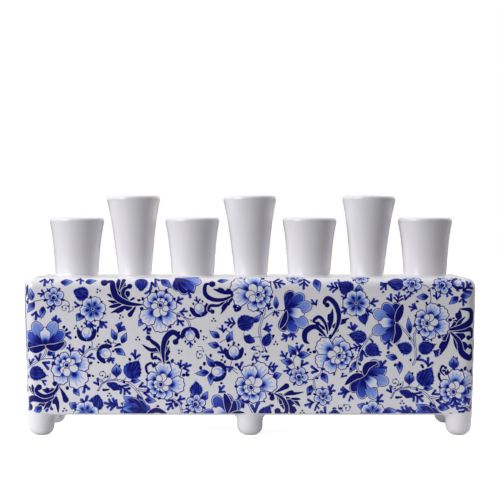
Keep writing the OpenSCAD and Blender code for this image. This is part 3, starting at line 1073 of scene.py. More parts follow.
def left_of_middle(pen):
    """Left of the middle: two scrolls around the second peony, with buds on both sides."""
    # branch from the bud up to the leaves
    pen.line((-100, 57.6), (-95, 61.6), (-90.4, 62), (-85, 60.4))
    pen.line((-90.4, 62), (-89, 66), (-86.6, 70))
    many(leaf, pen, (
        (-90, 67.4, 112, 7.0, 3.6), (-83.2, 65.2, 66, 6.6, 3.6), (-85.6, 55.9, -34, 6.8, 3.8),
        (-105.4, 103, 8, 6.4, 3.6), (-72.2, 75.4, -120, 5.0, 3.4), (-18, 103.6, 8, 6.4, 3.0)))
    many(sprig, pen, (
        (-68, 70.2, -88, 4.4), (-85.8, 72.4, 70, 6.0, 5), (-91.9, 50.6, -62, 4.6, 5, 110),
        (-46.4, 90.2, 26, 4.6), (-45.8, 75.2, -52, 4.6), (-43.7, 82.6, 0, 4.4)))
    many(comma, pen, (
        (-92.6, 62.8, 120, 3.4), (-87.6, 60.0, 10, 3.6), (-78.1, 90.2, 20, 3.2), (-100.2, 70.6, 70, 3.2)))
    many(dot, pen, (
        (-73.4, 90.2, 0.8), (-94.4, 57.8, 0.55, 60), (-96.4, 51.6, 0.6), (-89, 57.6, 0.7, 40),
        (-71, 91.6, 0.6)))
    many(dots, pen, (
        (-85.3, 79.2, 20), (-74.2, 64.6), (-46.4, 56.2, 40), (-24, 77), (-30.1, 65.2, 30), (-100, 60, 0)))
    bud(pen, -96.6, 55.4, -22, 8.4, crown=False)
    # upper scroll
    many(plume, pen, ((-84.4, 90.2, -87.4, 105.6, 8.4, 2, -1), (-77.6, 87.8, -92.4, 81.6, 4.4, 2, 1)))
    many(drop, pen, ((-75, 87, -79.4, 80.6, 1.7), (-86.4, 96.4, -83.6, 104, 1.5)))
    many(arm, pen, (
        ((-86.4, 90.8), (-90.4, 92.6), (-94.6, 94.2)), ((-82, 88.6), (-88.4, 88.6), (-94, 90)),
        ((-84, 88.2), (-89.4, 86.4), (-93.4, 85.8))))
    arm(pen, (-79, 88.6), (-83.6, 93), (-83.4, 97), (-79.6, 99.4), half=1.1, ball=1.7)
    arm(pen, (-71, 87.2), (-80, 88), (-88, 92), (-90.4, 97.6), (-91.6, 102.6), (-96.4, 102.0), half=1.9,
        ball=2.3)
    ragged(pen, -72, 101.2, -90, 8.6, 8.0, tail=False)
    many(pair, pen, ((-64.8, 99.6, -84, 5.0), (-67.2, 95.4, -130, 4.2), (-62.2, 103.4, -70, 4.6)))
    leaf(pen, -55.4, 101.6, -42, 8.4, 4.4)
    pen.line((-58.4, 90), (-60, 97), (-63, 104.6))
    pen.line((-59.4, 95), (-54.4, 97.6), (-53, 102))
    # scroll over the leafy spray's peony
    many(plume, pen, ((-57.4, 56, -53.8, 66.6, 3.6, 2, -1), (-56.6, 50, -53.2, 59.6, 3.2, 2, -1)))
    drop(pen, -57.6, 49, -60.4, 51.4, 1.0)
    arm(pen, (-57, 48.6), (-60, 55.6), (-64.6, 55.4), (-64.4, 51.6), (-62.4, 52.2), half=0.8, ball=1.35)
    arm(pen, (-57.2, 50), (-59.8, 57), (-66, 57.4), (-71.4, 61), half=1.2)
    arm(pen, (-57.4, 52.6), (-60.6, 59.4), (-64.4, 62.6), (-67.2, 65.2), half=1.2, ball=1.7)
    arm(pen, (-56.8, 48), (-57.6, 57), (-56, 64.6), (-51.4, 69), (-47.2, 66.4), (-49.2, 62.6), half=1.7,
        ball=1.9)
    peony(pen, -60.2, 82.6, 76, 14.2, 12.2, 4.6, 8, 10)
    # cut by the upper edge
    half_flower(pen, -48.8, 106.2, (
        (-84, 10.0, 6.0, "shade"), (8, 15.0, 6.0, "blue"), (-60, 14.0, 7.0, "shade"),
        (-14, 17.0, 7.0, "wash"), (-37, 15.5, 7.0, "blue")))
    pair(pen, -39.6, 94.6, -60, 5.0)
    # two buds beside the peony
    pen.stem((-47.4, 81.4), (-41.6, 77.4), (-39.6, 73), half=0.5)
    pen.line((-44, 79), (-38.6, 77.6), (-34, 80))
    many(bud, pen, ((-33.2, 83.6, 104, 8.2), (-39.6, 68.0, -90, 8.2)))


def middle(pen):
    """The middle, from its peony and scroll down to the lotus at the lower edge."""
    # scroll to the left of the middle peony
    many(plume, pen, ((-11.6, 94, -24.6, 97.6, 4.4, 2, -1), (-12, 93.4, -19.6, 80.6, 3.8, 2, -1)))
    arm(pen, (-6.4, 88.6), (-6.6, 84.6), (-9.6, 83.4), (-10, 86), half=0.8, ball=1.4)
    arm(pen, (-11, 93.4), (-12.6, 90.4), (-14.4, 87.8), half=0.9, ball=1.2)
    arm(pen, (-14, 93), (-20, 87.0), (-26.0, 86.6), (-27.4, 83.6), (-24.8, 82.6), half=0.9, ball=1.4)
    arm(pen, (-10, 94), (-17, 90.8), (-24, 90.6), (-29.4, 94), (-29.4, 100.4), (-25, 101), half=1.3,
        ball=2.1)
    # ragged leaf with a sprig, and the leaves, sprigs and dots of the middle
    ragged(pen, -2.8, 75.2, 24, 11.4, 10.0)
    feather(pen, -13.4, 75.4, 174, 6.4)
    pen.line((-11, 60), (-11.6, 66), (-15, 70), (-22, 72))
    pen.line((-11.4, 64), (-16.6, 64), (-20, 62))
    many(leaf, pen, (
        (-23.4, 67.6, 146, 7.0, 3.6), (-13.4, 66, 66, 7.0, 3.8), (-24, 60.6, 168, 6.6, 3.8),
        (-26.2, 49.2, 128, 7.6, 3.8), (-31.6, 42, 186, 7.8, 3.8), (-25.9, 38, -92, 7.4, 3.8),
        (-29.6, 26.7, 62, 6.0, 3.8), (4.8, 78, 50, 6.0, 3.2), (-6.3, 22.2, 122, 7.0, 3.8),
        (17.2, 88.6, 92, 7.4, 3.0), (44.5, 100.4, -74, 8.4, 4.6)))
    many(sprig, pen, (
        (-18, 71.4, 96, 4.4), (-18.6, 31.4, 50, 5.0), (12.8, 86, 70, 3.8), (8, 82.2, 150, 3.6),
        (17.3, 81.2, -60, 4.0), (42.2, 88.8, 128, 4.4), (3.6, 51.4, -62, 4.2), (23.0, 65.4, 210, 5.0, 4),
        (28.2, 66.6, -96, 5.0, 4), (11.9, 72.2, 20, 5.6, 4)))
    many(pair, pen, (
        (-19, 57, 130, 4.6), (-6.5, 47.2, 80, 4.8), (10.4, 52.6, 200, 4.2), (3.7, 19.6, 84, 6.4),
        (2.4, 58, 0, 3.2), (-13.8, 45.4, 190, 4.6), (14.2, 66.4, 200, 3.6)))
    many(dot, pen, (
        (-30.2, 48.2, 0.9, 90), (-23.6, 46.4, 1.0, -40), (-32.6, 45.4, 0.9, 90), (-16.6, 49.4, 0.7, 60),
        (-26, 53.6, 0.8, 86), (8.2, 56, 0.6), (-9.4, 47.4, 0.7, 110), (-1.8, 23, 0.7),
        (-8.8, 19.6, 0.7, 90), (0, 31, 0.6), (2, 25.4, 0.8, 80), (14.6, 20.4, 0.9, 0), (13.6, 16.6, 0.5),
        (-12.4, 19.4, 0.5)))
    many(comma, pen, ((10.6, 57.4, 110, 3.4), (-10.6, 60.4, 60, 3.2), (-3.2, 23.4, 130, 3.4)))
    many(dots, pen, ((17, 61.6), (34.6, 16, 0)))
    # hollow stem down from the peony
    pen.stem((10, 84), (7.6, 76), (6.3, 69), (9.6, 57), half=0.55)
    pen.line((7, 66), (1.6, 65.6), (-3, 64.6))
    pen.line((23, 83.6), (16, 82.6), (9.4, 78))
    veined(pen, -0.4, 64.6, 150, 8.0, 5.6, 0.3)
    ragged(pen, 11.2, 63.8, 66, 8.6, 5.8, tail=False)
    spiral(pen, 4.3, 54.4, 60, 1, 3.2)
    peony(pen, 0.8, 96.4, -30, 14.4, 12.8, 5.4, 8, 0)
    feather(pen, 19.4, 101.6, -14, 7.2)
    lotus(pen, 24.0, 83.2, -12, 17.4)
    arm(pen, (24, 83), (22.6, 77), (19.6, 71.4), half=1.6)
    daisy(pen, 29.4, 106.8, 0, 5.4)
    feather(pen, 35.6, 101.2, -96, 7.2)
    # two buds over the lower lotus
    pen.line((-12, 50), (-12.6, 45.6), (-8, 41.4))
    bud(pen, -10.7, 55.2, 92, 8.6, crown=False)
    pen.line((-16.4, 43.6), (-12, 45.4), (-8.6, 44.2))
    bud(pen, -20.4, 43, 176, 8.8, crown=False)
    spiral(pen, -33, 53.8, 110, -1, 3.4)
    pen.line((-29.6, 54.4), (-27.6, 51.6), (-27, 47))
    # daisy under a ragged leaf
    ragged(pen, -35.5, 31.2, 90, 8.6, 8.0)
    daisy(pen, -35.8, 21.6, 10, 6.4)
    pen.line((-40.8, 19), (-44, 17.6), (-46, 18.4))
    sprig(pen, -41.6, 16.6, 200, 4.0)
    lotus(pen, -14.8, 12.2, 146, 17.4, 0, ("blue", "blue", "blue"))
    arm(pen, (-14.0, 14), (-14.6, 21), (-17.0, 28.6), half=2.2)
    arm(pen, (-13.8, 13.4), (-10.6, 18.4), (-10.4, 24.0), half=1.8)
    arm(pen, (-13.8, 14), (-7, 15.2), (-0.6, 12.6), half=1.6)


def right_of_middle(pen):
    """Right of the middle: two peonies with their scrolls, and the branch of dark leaves."""
    pen.stem((-0.6, 27.6), (-1, 22), (3.4, 13.6), half=0.5)
    # lower scroll
    many(plume, pen, (
        (17.4, 28.2, 24, 16.6, 5.0, 2, 1), (22.2, 27.4, 36, 29.6, 3.4, 1, 1),
        (23.4, 26.8, 33.4, 19.4, 4.4, 1, -1), (24.6, 24.4, 29.6, 12.6, 6.0, 2, 1)))
    many(drop, pen, (
        (16.4, 29, 24.2, 33.4, 2.0), (15, 28.8, 14.6, 25.4, 1.9), (18.4, 27.6, 20.4, 22.4, 1.3)))
    arm(pen, (28, 24.6), (31, 22.6), (33.2, 19.8), half=0.8)
    arm(pen, (27, 25), (30.6, 24.8), (33.6, 24.8), half=0.8)
    arm(pen, (16, 28.6), (22, 24.6), (24.4, 18), (22.4, 14.6), (18.2, 16.8), half=1.2, ball=2.0)
    ragged(pen, 10.2, 15.2, 60, 9.6, 8.0)
    peony(pen, 4.2, 35.6, 222, 14.6, 12.4, 5.0, 8, 15)
    leaf(pen, 18, 40.4, 20, 5.4, 4.0)
    feather(pen, 15.4, 46.2, 6, 5.8)
    # three leaves on a stem over a small flower
    pen.line((31, 54), (28.6, 50.6), (29.6, 45.6))
    many(leaf, pen, (
        (27.8, 57.2, 128, 7.0, 4.4), (35.6, 54, 4, 7.2, 4.2), (24.3, 49.6, 170, 7.0, 4.2),
        (49.4, 38.8, -60, 6.8, 4.0), (39.4, 30.4, -112, 6.6, 3.8), (68.6, 46.2, -126, 8.6, 3.4),
        (74, 20, -196, 5.6, 4.2)))
    many(sprig, pen, (
        (22.2, 54.4, 118, 4.6), (24.6, 43.8, 190, 4.4), (53.8, 31.8, 62, 5.0), (39, 21.6, 196, 5.4),
        (61.8, 29, 190, 6.4, 4), (85.8, 25.4, 50, 5.4)))
    many(pair, pen, (
        (33, 58.6, 74, 5.0), (35.8, 48.2, 40, 4.8), (42.4, 44.4, 158, 5.2), (74.4, 53.6, -82, 6.4),
        (49.2, 16.8, 110, 5.0), (66.4, 25.2, -90, 3.6), (43.8, 19, -90, 3.6), (62, 40.2, 30, 3.6)))
    many(dot, pen, (
        (38.6, 57.4, 0.9, 50), (27, 53.4, 0.8, 80), (44.4, 38.6, 0.7, 20), (37.2, 35.8, 0.6),
        (43, 31.4, 0.7), (39.4, 28.2, 0.9, 20), (54, 44.6, 1.0, 100), (66.6, 44.6, 0.8, -60),
        (64.4, 51.6, 0.6), (63.6, 48.8, 0.7), (73.4, 42.6, 0.8, 0), (72.6, 48, 0.8, -50),
        (70.8, 42.6, 0.8, 70), (44.6, 15.6, 0.8, -60), (59.8, 18.6, 0.8), (55.8, 18.4, 0.9),
        (31, 61.6, 0.6)))
    pen.stem((47.6, 45.6), (46.8, 41.6), (42, 38.2), half=0.45)
    pen.line((44, 39.6), (41.6, 37.6), (35.6, 37.8))
    pen.stem((42.2, 37.4), (43.2, 31), (46.4, 27.4), half=0.45)
    many(daisy, pen, ((32.2, 39.8, 60, 6.2), (48.2, 26.4, 200, 6.0)))
    # scroll over the third peony
    many(plume, pen, ((53.6, 73, 66, 78.6, 4.2, 2, -1), (52.4, 70, 54.6, 84.6, 5.2, 2, 1)))
    many(drop, pen, ((52.6, 67, 57.6, 70.4, 1.2), (50.4, 66.6, 46.4, 67.6, 1.2)))
    arm(pen, (50.6, 70.6), (45.6, 73.6), (39.6, 77.4), half=1.1)
    arm(pen, (50.4, 66), (43.4, 72.6), (36.8, 69.6), (36.4, 63.6), (39.4, 61.4), half=1.7)
    arm(pen, (51.4, 68), (49.8, 74.6), (45.8, 79.2), (42, 76.6), (44.8, 74.6), half=1.0, ball=1.5)
    arm(pen, (53, 64.6), (57.4, 72.4), (58.8, 80), (56.4, 87.6), (51.6, 91.6), (49, 88.6), (51, 87),
        half=1.45, ball=1.6)
    feather(pen, 54.4, 99, 168, 6.6)
    daisy(pen, 73.4, 106.6, 30, 5.6)
    ragged(pen, 63.6, 98.6, 150, 10.2, 9.4, tail=False)
    pair(pen, 58.6, 102.6, 120, 3.6)
    leaf(pen, 72, 97.4, 88, 5.4, 4.8)
    ragged(pen, 74.8, 78.6, -76, 7.8, 6.2)
    blossom(pen, 70.2, 88.2, 0, 8.8, 6)
    many(sprig, pen, (
        (61.8, 83.2, 206, 4.4), (82.2, 89, 14, 4.8), (62, 92.4, 160, 3.4), (79.4, 82.2, -20, 4.2),
        (67.6, 72.6, 104, 5.6, 4)))
    # branch with dark leaves, down to the lower lotus
    pen.stem((90, 73.4), (82, 68.6), (76.6, 62.6), (72, 54.6), (71, 45), (75, 40.4), half=0.5)
    pen.line((71.6, 53), (67, 50.6), (62, 52.4))
    many(ragged, pen, ((71.8, 66.2, 168, 10.8, 8.0), (80.8, 57.2, -34, 9.6, 8.6)))
    feather(pen, 70.2, 59.2, 196, 6.0)
    many(comma, pen, ((66.8, 54, 210, 3.4), (84.6, 68.8, 40, 3.2), (79.8, 63.6, -60, 3.0)))
    peony(pen, 54.6, 54.6, -14, 13.0, 12.2, 4.8, 8, 25)
    lotus(pen, 75.4, 40.2, -40, 17.0)
    arm(pen, (75.4, 40.4), (69, 39.4), (62.6, 34), half=1.9)
    arm(pen, (75.6, 40.4), (77.4, 46.6), (84.4, 49.2), half=2.0)
    spiral(pen, 64.2, 18.6, 150, 1, 3.4)
    ragged(pen, 56, 13.6, 90, 7.2, 9.0, tail=False)
    blossom(pen, 81.2, 15.4, 30, 8.0, 6)


def right_end(pen):
    """The right-hand end: a lotus that faces left, a peony and the corner scroll."""
    # lotus that faces left, its leaves and stem
    pen.stem((96.8, 75.4), (104, 68), (109, 60), (109.6, 52), (107.8, 47.6), half=0.5)
    pen.stem((109.4, 60.4), (108.6, 67), (111.6, 73), half=0.45)
    lotus(pen, 96.6, 75.2, 178, 17.0)
    arm(pen, (96.6, 75.4), (98.8, 81.4), (101, 87.6), half=2.1)
    arm(pen, (96.6, 75), (98.4, 68.4), (95, 61.4), half=2.1)
    feather(pen, 98.2, 92.4, 80, 6.0)
    leaf(pen, 105.2, 73.4, 96, 9.4, 3.2)
    many(pair, pen, ((92.8, 91.8, 110, 4.6), (112.4, 51.2, 10, 4.6), (103.6, 92.2, 60, 4.0)))
    many(sprig, pen, (
        (91.5, 60.6, -100, 5.0), (105.8, 94.8, -96, 4.0), (131.8, 94.6, -30, 4.4), (140.8, 89, -90, 4.6),
        (123.4, 93.2, 92, 4.4), (107.6, 85.4, 160, 5.0, 4), (115.8, 64.6, 60, 4.6),
        (124.2, 55.6, -24, 5.2, 4), (88, 47.8, 48, 5.6), (102.2, 55.6, -120, 3.6), (85, 55.4, -70, 4.0)))
    many(leaf, pen, (
        (142.6, 93.2, 8, 6.2, 3.6), (134.6, 90, -142, 6.8, 3.8), (114, 92.4, 182, 6.8, 3.8),
        (93.6, 52.6, 168, 6.8, 3.8), (99, 45.6, -90, 7.2, 3.6)))
    many(dot, pen, (
        (110.6, 89.4, 0.7), (118.4, 96.6, 0.7), (137, 97, 0.7, 40), (88, 95.6, 0.6),
        (106.2, 50.6, 0.7, 80), (112.6, 69.4, 0.8, 60), (113.6, 47.2, 0.7, 0), (121.8, 60.6, 0.8, 20),
        (91.4, 55.6, 0.8, 30), (96, 47.4, 0.8, 60), (105.6, 64.8, 0.7, 110), (121, 98, 0.6, 60),
        (101.6, 97, 0.7)))
    ragged(pen, 96.8, 101.4, 176, 10.2, 8.8, tail=False)
    sprig(pen, 88.4, 99.4, 220, 5.4, 4)
    daisy(pen, 107.4, 101.8, 40, 6.4)
    pen.line((113.4, 100.6), (118, 98.6), (119.6, 92), (119, 88))
    pen.line((118.6, 97.4), (122, 99.6), (124.4, 99.6))
    daisy(pen, 127.4, 100.4, 0, 6.2)
    bud(pen, 136.8, 101.6, 20, 6.2, crown=False)
    feather(pen, 144.6, 99.4, 40, 8.6)
    many(ragged, pen, ((102.6, 58.6, 158, 9.4, 7.8), (116.4, 58.6, 18, 10.2, 8.4)))
    # scroll at the right-hand corner
    many(plume, pen, (
        (138, 73, 138.6, 84.6, 5.4, 2, 1), (132.6, 69.4, 125.4, 53.6, 6.0, 2, -1),
        (134.4, 67.6, 142.6, 53.0, 9.6, 2, 1), (134.8, 71.4, 142.6, 79.4, 3.8, 1, -1)))
    many(drop, pen, ((131.6, 70.8, 135.2, 74.8, 1.3), (131, 69.6, 128.4, 64.6, 1.4)))
    arm(pen, (132, 69.6), (138, 63), (140, 55.6), (145.6, 52), (148.6, 56.6), (145.8, 59.6), half=1.9,
        ball=1.6)
    arm(pen, (132, 70), (139.6, 70), (146.4, 70.8), (147.6, 66.4), (144.6, 65.4), half=1.3, ball=1.6)
    arm(pen, (131, 70.6), (140, 72.6), (146.6, 77), (146, 83.4), (138, 84.4), half=1.9)
    peony(pen, 121, 76.2, 196, 12.2, 11.6, 4.4, 8, 12)
    budleaf(pen, 134.8, 48.4, 90, 7.6)
    arm(pen, (128.6, 40.4), (126, 43.4), (127.4, 46.8), (129.4, 45.4), half=0.6, ball=1.0)
    leaf(pen, 92.6, 16.4, 6, 8.4, 5.0)
    feather(pen, 136.2, 21.6, -74, 7.8)
    many(sprig, pen, ((143.8, 23.6, -62, 5.4, 4), (146.4, 31.0, -30, 4.6), (129.8, 20.2, -48, 4.4)))
    many(pair, pen, ((107.2, 16.8, 150, 5.2), (118.6, 43.2, -30, 4.6)))


SPRAY_COPY = (193.7, -5.0)      # where the spray comes again, from its first place


def sheet(shapes, dx):
    """The whole printed sheet, shifted."""
    pen = Pen(shapes, dx)
    spray(pen)
    spray(pen.at(*SPRAY_COPY))
    left_end(pen)
    left_of_middle(pen)
    middle(pen)
    right_of_middle(pen)
    right_end(pen)


# ---- laying the print on the walls ----
PRINT_LOW = UNDER + BASE_R - 0.84     # arc length, a little way round the lower edge
ROUND_TO = ROUND_FROM + EDGE_R * math.pi / 2
FACE_WRAP = 3.0                       # how far the long prints reach over the flat of the deck
END_WRAP = 2.0
FACE_TURN = math.radians(52)          # how far they reach round an upright corner
END_TURN = math.radians(30)


def on_wall(u, v, turn):
    """The body's point and normal at (u, v) of the unrolled wall that faces turn degrees from the front."""
    z, cx, cy, r, level = section(v)
    if v < UNDER + BASE_R:
        a = (UNDER + BASE_R - v) / BASE_R
        z, cx, cy, _, _ = section(UNDER + BASE_R)
        z -= BASE_R * math.sin(a)
        r = EDGE_R - BASE_R + BASE_R * math.cos(a)
        level, rise = math.cos(a), -math.sin(a)
    else:
        rise = math.sqrt(max(1 - level * level, 0))
    along, out = (cx, cy) if turn % 180 == 0 else (cy, cx)
    if abs(u) <= along:
        p, n = (u, -(out + r)), (0.0, -1.0)
    else:
        a = (abs(u) - along) / EDGE_R
        side = 1 if u > 0 else -1
        n = (side * math.sin(a), -math.cos(a))
        p = (side * along + r * n[0], -out + r * n[1])
    p = (p[0], p[1] + max(v - ROUND_TO, 0))
    n = (n[0] * level, n[1] * level, rise)
    p = (p[0] + n[0] * PRINT_LIFT, p[1] + n[1] * PRINT_LIFT, z + rise * PRINT_LIFT)
    c, s = math.cos(math.radians(turn)), math.sin(math.radians(turn))
    return ((c * p[0] - s * p[1], s * p[0] + c * p[1], p[2]),
            (c * n[0] - s * n[1], s * n[0] + c * n[1], n[2]))


def wall_outline(turn):
    """The cut edge of a transfer on the unrolled wall, and the lines it has to be creased along."""
    face = turn % 180 == 0
    reach = EDGE_R * (FACE_TURN if face else END_TURN)
    wrap = FACE_WRAP if face else END_WRAP

    def edge_x(v):
        _, cx, cy, _, _ = section(v)
        return cx if face else cy

    low, mid = edge_x(PRINT_LOW), edge_x(ROUND_FROM)
    taper = reach * 0.4
    outline = [(-low - reach, PRINT_LOW), (low + reach, PRINT_LOW), (mid + reach, ROUND_FROM),
               (mid + taper, ROUND_TO - 3.0), (mid - 0.5, ROUND_TO), (mid - 1.2 - wrap, ROUND_TO + wrap),
               (-mid + 1.2 + wrap, ROUND_TO + wrap), (-mid + 0.5, ROUND_TO), (-mid - taper, ROUND_TO - 3.0),
               (-mid - reach, ROUND_FROM)]
    creases = []
    for side in (-1, 1):
        for k in range(CORNER_STEPS + 1):
            shift = EDGE_R * math.pi / 2 * k / CORNER_STEPS
            if shift < reach + 1:
                creases.append(((side * (low + shift), PRINT_LOW), (side * (mid + shift), ROUND_FROM)))
                creases.append(((side * (mid + shift), ROUND_FROM), (side * (mid + shift), ROUND_TO)))
    wide = mid + reach + 1
    for k in range(RIM_STEPS + 1):
        v = ROUND_FROM + EDGE_R * math.pi / 2 * k / RIM_STEPS
        creases.append(((-wide, v), (wide, v)))
    for v in (UNDER + BASE_R, UNDER + BASE_R - 0.42):
        creases.append(((-wide, v), (wide, v)))
    return outline, creases


def partition(shapes, outline, creases):
    """Cuts the wall along every shape's edge. Gives points, triangles and the topmost shape over each."""
    box = np.array(outline)
    (x0, y0), (x1, y1) = box.min(axis=0), box.max(axis=0)
    near = []
    for shape in shapes:
        pts = np.array(shape[1])
        if pts[:, 0].max() > x0 and pts[:, 0].min() < x1 and pts[:, 1].max() > y0 and pts[:, 1].min() < y1:
            near.append(shape)
    pts, edges = [], []
    for loop in [outline] + [s[1] for s in near]:
        first = len(pts)
        pts += [Vector(p) for p in loop]
        edges += [(first + i, first + (i + 1) % len(loop)) for i in range(len(loop))]
    for a, b in creases:
        pts += [Vector(a), Vector(b)]
        edges.append((len(pts) - 2, len(pts) - 1))
    verts, _, tris, _, _, _ = geometry.delaunay_2d_cdt(pts, edges, [], 0, 1e-3, False)
    verts = np.array([tuple(v) for v in verts])
    tris = np.array(tris)
    middle = verts[tris].mean(axis=1)
    tris = tris[within(middle, outline)]
    middle = verts[tris].mean(axis=1)
    a, b, c = (verts[tris[:, k]] for k in range(3))
    area = np.abs((b[:, 0] - a[:, 0]) * (c[:, 1] - a[:, 1]) - (c[:, 0] - a[:, 0]) * (b[:, 1] - a[:, 1]))
    tris = tris[area > 1e-6]
    middle = verts[tris].mean(axis=1)
    top = np.full(len(tris), -1)
    for i, shape in enumerate(near):
        loop = np.array(shape[1])
        lo, hi = loop.min(axis=0), loop.max(axis=0)
        some = np.nonzero(((middle >= lo) & (middle <= hi)).all(axis=1))[0]
        if len(some):
            top[some[within(middle[some], loop)]] = i
    return verts, tris, top, near


def lay_print(name, wall, turn, materials, inks, node):
    """Makes one printed piece from those shapes of a partitioned wall whose kind is in inks."""
    verts, tris, top, shapes = wall
    points, normals, index = [], [], {}
    faces, slots, uvs = [], [], []
    for t, s in zip(tris, top):
        if s < 0 or shapes[s][0] not in inks:
            continue
        kind, _, (ox, oy, a, along, across) = shapes[s]
        c, sn = math.cos(a), math.sin(a)
        corners = []
        for i in t:
            if i not in index:
                p, n = on_wall(verts[i][0], verts[i][1], turn)
                index[i] = len(points)
                points.append(p)
                normals.append(n)
            corners.append(index[i])
            x, y = verts[i][0] - ox, verts[i][1] - oy
            uvs.append(((c * x + sn * y) / along, (c * y - sn * x) / across))
        faces.append(tuple(corners))
        slots.append(inks.index(kind))
    obj = make_mesh(name, points, faces, materials, normals, slots, uvs)
    belongs(obj, "cobalt_transfer", node)


# ---- the cobalt inks ----
DEEP = (0.003, 0.0035, 0.15)
INK = (0.012, 0.016, 0.27)
MID = (0.036, 0.085, 0.54)
SOFT = (0.19, 0.30, 0.76)
FAINT = (0.46, 0.56, 0.90)
CLEAR = (0.81, 0.795, 0.85)


def plain_ink(name, colour):
    mat, tree, bsdf = new_material(name)
    glaze_surface(tree, bsdf)
    bsdf.inputs["Base Color"].default_value = (*colour, 1)
    return mat


def washed_ink(name, density, stops):
    """An ink whose depth follows the brush: density makes it from the shares along and across a stroke."""
    mat, tree, bsdf = new_material(name)
    coords = glaze_surface(tree, bsdf)
    uv = tree.nodes.new("ShaderNodeUVMap")
    uv.uv_map = "grain"
    split = tree.nodes.new("ShaderNodeSeparateXYZ")
    link(tree, uv.outputs["UV"], split.inputs["Vector"])
    place = tree.nodes.new("ShaderNodeSeparateXYZ")
    link(tree, coords, place.inputs["Vector"])
    along, across = split.outputs["X"], split.outputs["Y"]
    grain = tree.nodes.new("ShaderNodeCombineXYZ")
    link(tree, math_node(tree, "MULTIPLY", along, 1.6), grain.inputs["X"])
    link(tree, math_node(tree, "MULTIPLY", across, 4.5), grain.inputs["Y"])
    link(tree, math_node(tree, "MULTIPLY", place.outputs["X"], 160.0), grain.inputs["Z"])
    streak = noise_node(tree, grain.outputs["Vector"], 1.0, 2.0)
    link(tree, ramp(tree, density(tree, along, across, streak), stops), bsdf.inputs["Base Color"])
    return mat


# Below, a kind's depth of ink is made from a, the share along its stroke, b, the share across it, and the
# brush's streak. These stops give that depth its colour.
DEPTHS = [(0.0, CLEAR), (0.25, FAINT), (0.48, SOFT), (0.74, MID), (0.9, INK), (1.0, DEEP)]


def petal_depth(tree, a, b, streak):
    r = math_node(tree, "SQRT", math_node(tree, "MULTIPLY_ADD", a, a, math_node(tree, "MULTIPLY", b, b)))
    r = math_node(tree, "MULTIPLY_ADD", streak, 0.16, r)
    return math_node(tree, "MULTIPLY", r, 0.6)


PETAL_STOPS = [(0.0, DEEP), (0.18, DEEP), (0.25, INK), (0.35, MID), (0.50, SOFT), (0.69, FAINT),
               (0.91, (0.69, 0.72, 0.86)), (1.0, CLEAR)]


def leaf_depth(tree, a, b, streak):
    side = math_node(tree, "MULTIPLY", b, b)
    d = math_node(tree, "MULTIPLY_ADD", a, -0.95, 1.12)
    d = math_node(tree, "MULTIPLY_ADD", side, -0.28, d)
    return math_node(tree, "MULTIPLY_ADD", streak, 0.22, d, clamp=True)


def shade_depth(tree, a, b, streak):
    d = math_node(tree, "MULTIPLY_ADD", streak, -0.95, 1.4)
    return math_node(tree, "MULTIPLY_ADD", math_node(tree, "MULTIPLY", a, a), 0.12, d, clamp=True)


def sprig_depth(tree, a, b, streak):
    d = math_node(tree, "MULTIPLY_ADD", a, -0.2, 1.04)
    return math_node(tree, "MULTIPLY_ADD", streak, -0.06, d, clamp=True)


def blue_depth(tree, a, b, streak):
    d = math_node(tree, "MULTIPLY_ADD", a, -0.42, 1.16)
    return math_node(tree, "MULTIPLY_ADD", streak, -0.16, d, clamp=True)


def wash_depth(tree, a, b, streak):
    d = math_node(tree, "MULTIPLY_ADD", a, -0.4, 0.58)
    return math_node(tree, "MULTIPLY_ADD", streak, 0.36, d, clamp=True)


def pale_depth(tree, a, b, streak):
    return math_node(tree, "MULTIPLY_ADD", streak, 0.2, 0.2, clamp=True)


LINE_KINDS = ["dark", "line"]
WASH_KINDS = ["sprig", "leaf", "shade", "blue", "wash", "pale", "petal"]
line_inks = [plain_ink("cobalt_dark", DEEP), plain_ink("cobalt_line", (0.035, 0.05, 0.36))]
wash_inks = [washed_ink("cobalt_" + kind, depth, stops) for kind, depth, stops in (
    ("sprig", sprig_depth, DEPTHS), ("leaf", leaf_depth, DEPTHS), ("shade", shade_depth, DEPTHS),
    ("blue", blue_depth, DEPTHS), ("wash", wash_depth, DEPTHS), ("pale", pale_depth, DEPTHS),
    ("petal", petal_depth, PETAL_STOPS))]

# The way each wall faces, and how far the sheet is shifted on it.
for node, turn, dx in (("transfer_front", 0, 0.0), ("transfer_right", 90, 62.0),
                       ("transfer_back", 180, 0.0), ("transfer_left", 270, -60.0)):
    shapes = []
    sheet(shapes, dx)
    wall = partition(shapes, *wall_outline(turn))
    side = node.split("_")[1]
    lay_print("print_%s_lines" % side, wall, turn, line_inks, LINE_KINDS, node)
    lay_print("print_%s_washes" % side, wall, turn, wash_inks, WASH_KINDS, node)


# ---- studio ----


def aim(obj, target):
    obj.rotation_euler = (Vector(target) - obj.location).to_track_quat("-Z", "Y").to_euler()


def softbox(name, place, target, width, height, watts, colour=(1, 1, 1)):
    lamp = bpy.data.lights.new(name, "AREA")
    lamp.shape = "RECTANGLE"
    lamp.size, lamp.size_y = width, height
    lamp.energy = watts
    lamp.color = colour
    obj = bpy.data.objects.new(name, lamp)
    obj.location = place
    bpy.context.scene.collection.objects.link(obj)
    aim(obj, target)
    return obj


softbox("key", (-0.8, -0.68, 0.42), (0, 0, 0.08), 0.6, 0.8, 7.6)
top = softbox("top", (-0.1, 0.1, 1.2), (0, 0, 0.1), 1.4, 0.9, 6.4)
top.visible_glossy = False
for name, place, watts in (("warm_card", (0.8, 0.45, 0.2), 1.5), ("back_card", (0.75, 0.95, 0.28), 9.0)):
    card = softbox(name, place, (0, 0, 0.1), 0.5, 0.5, watts, (1.0, 0.93, 0.84))
    card.visible_glossy = False

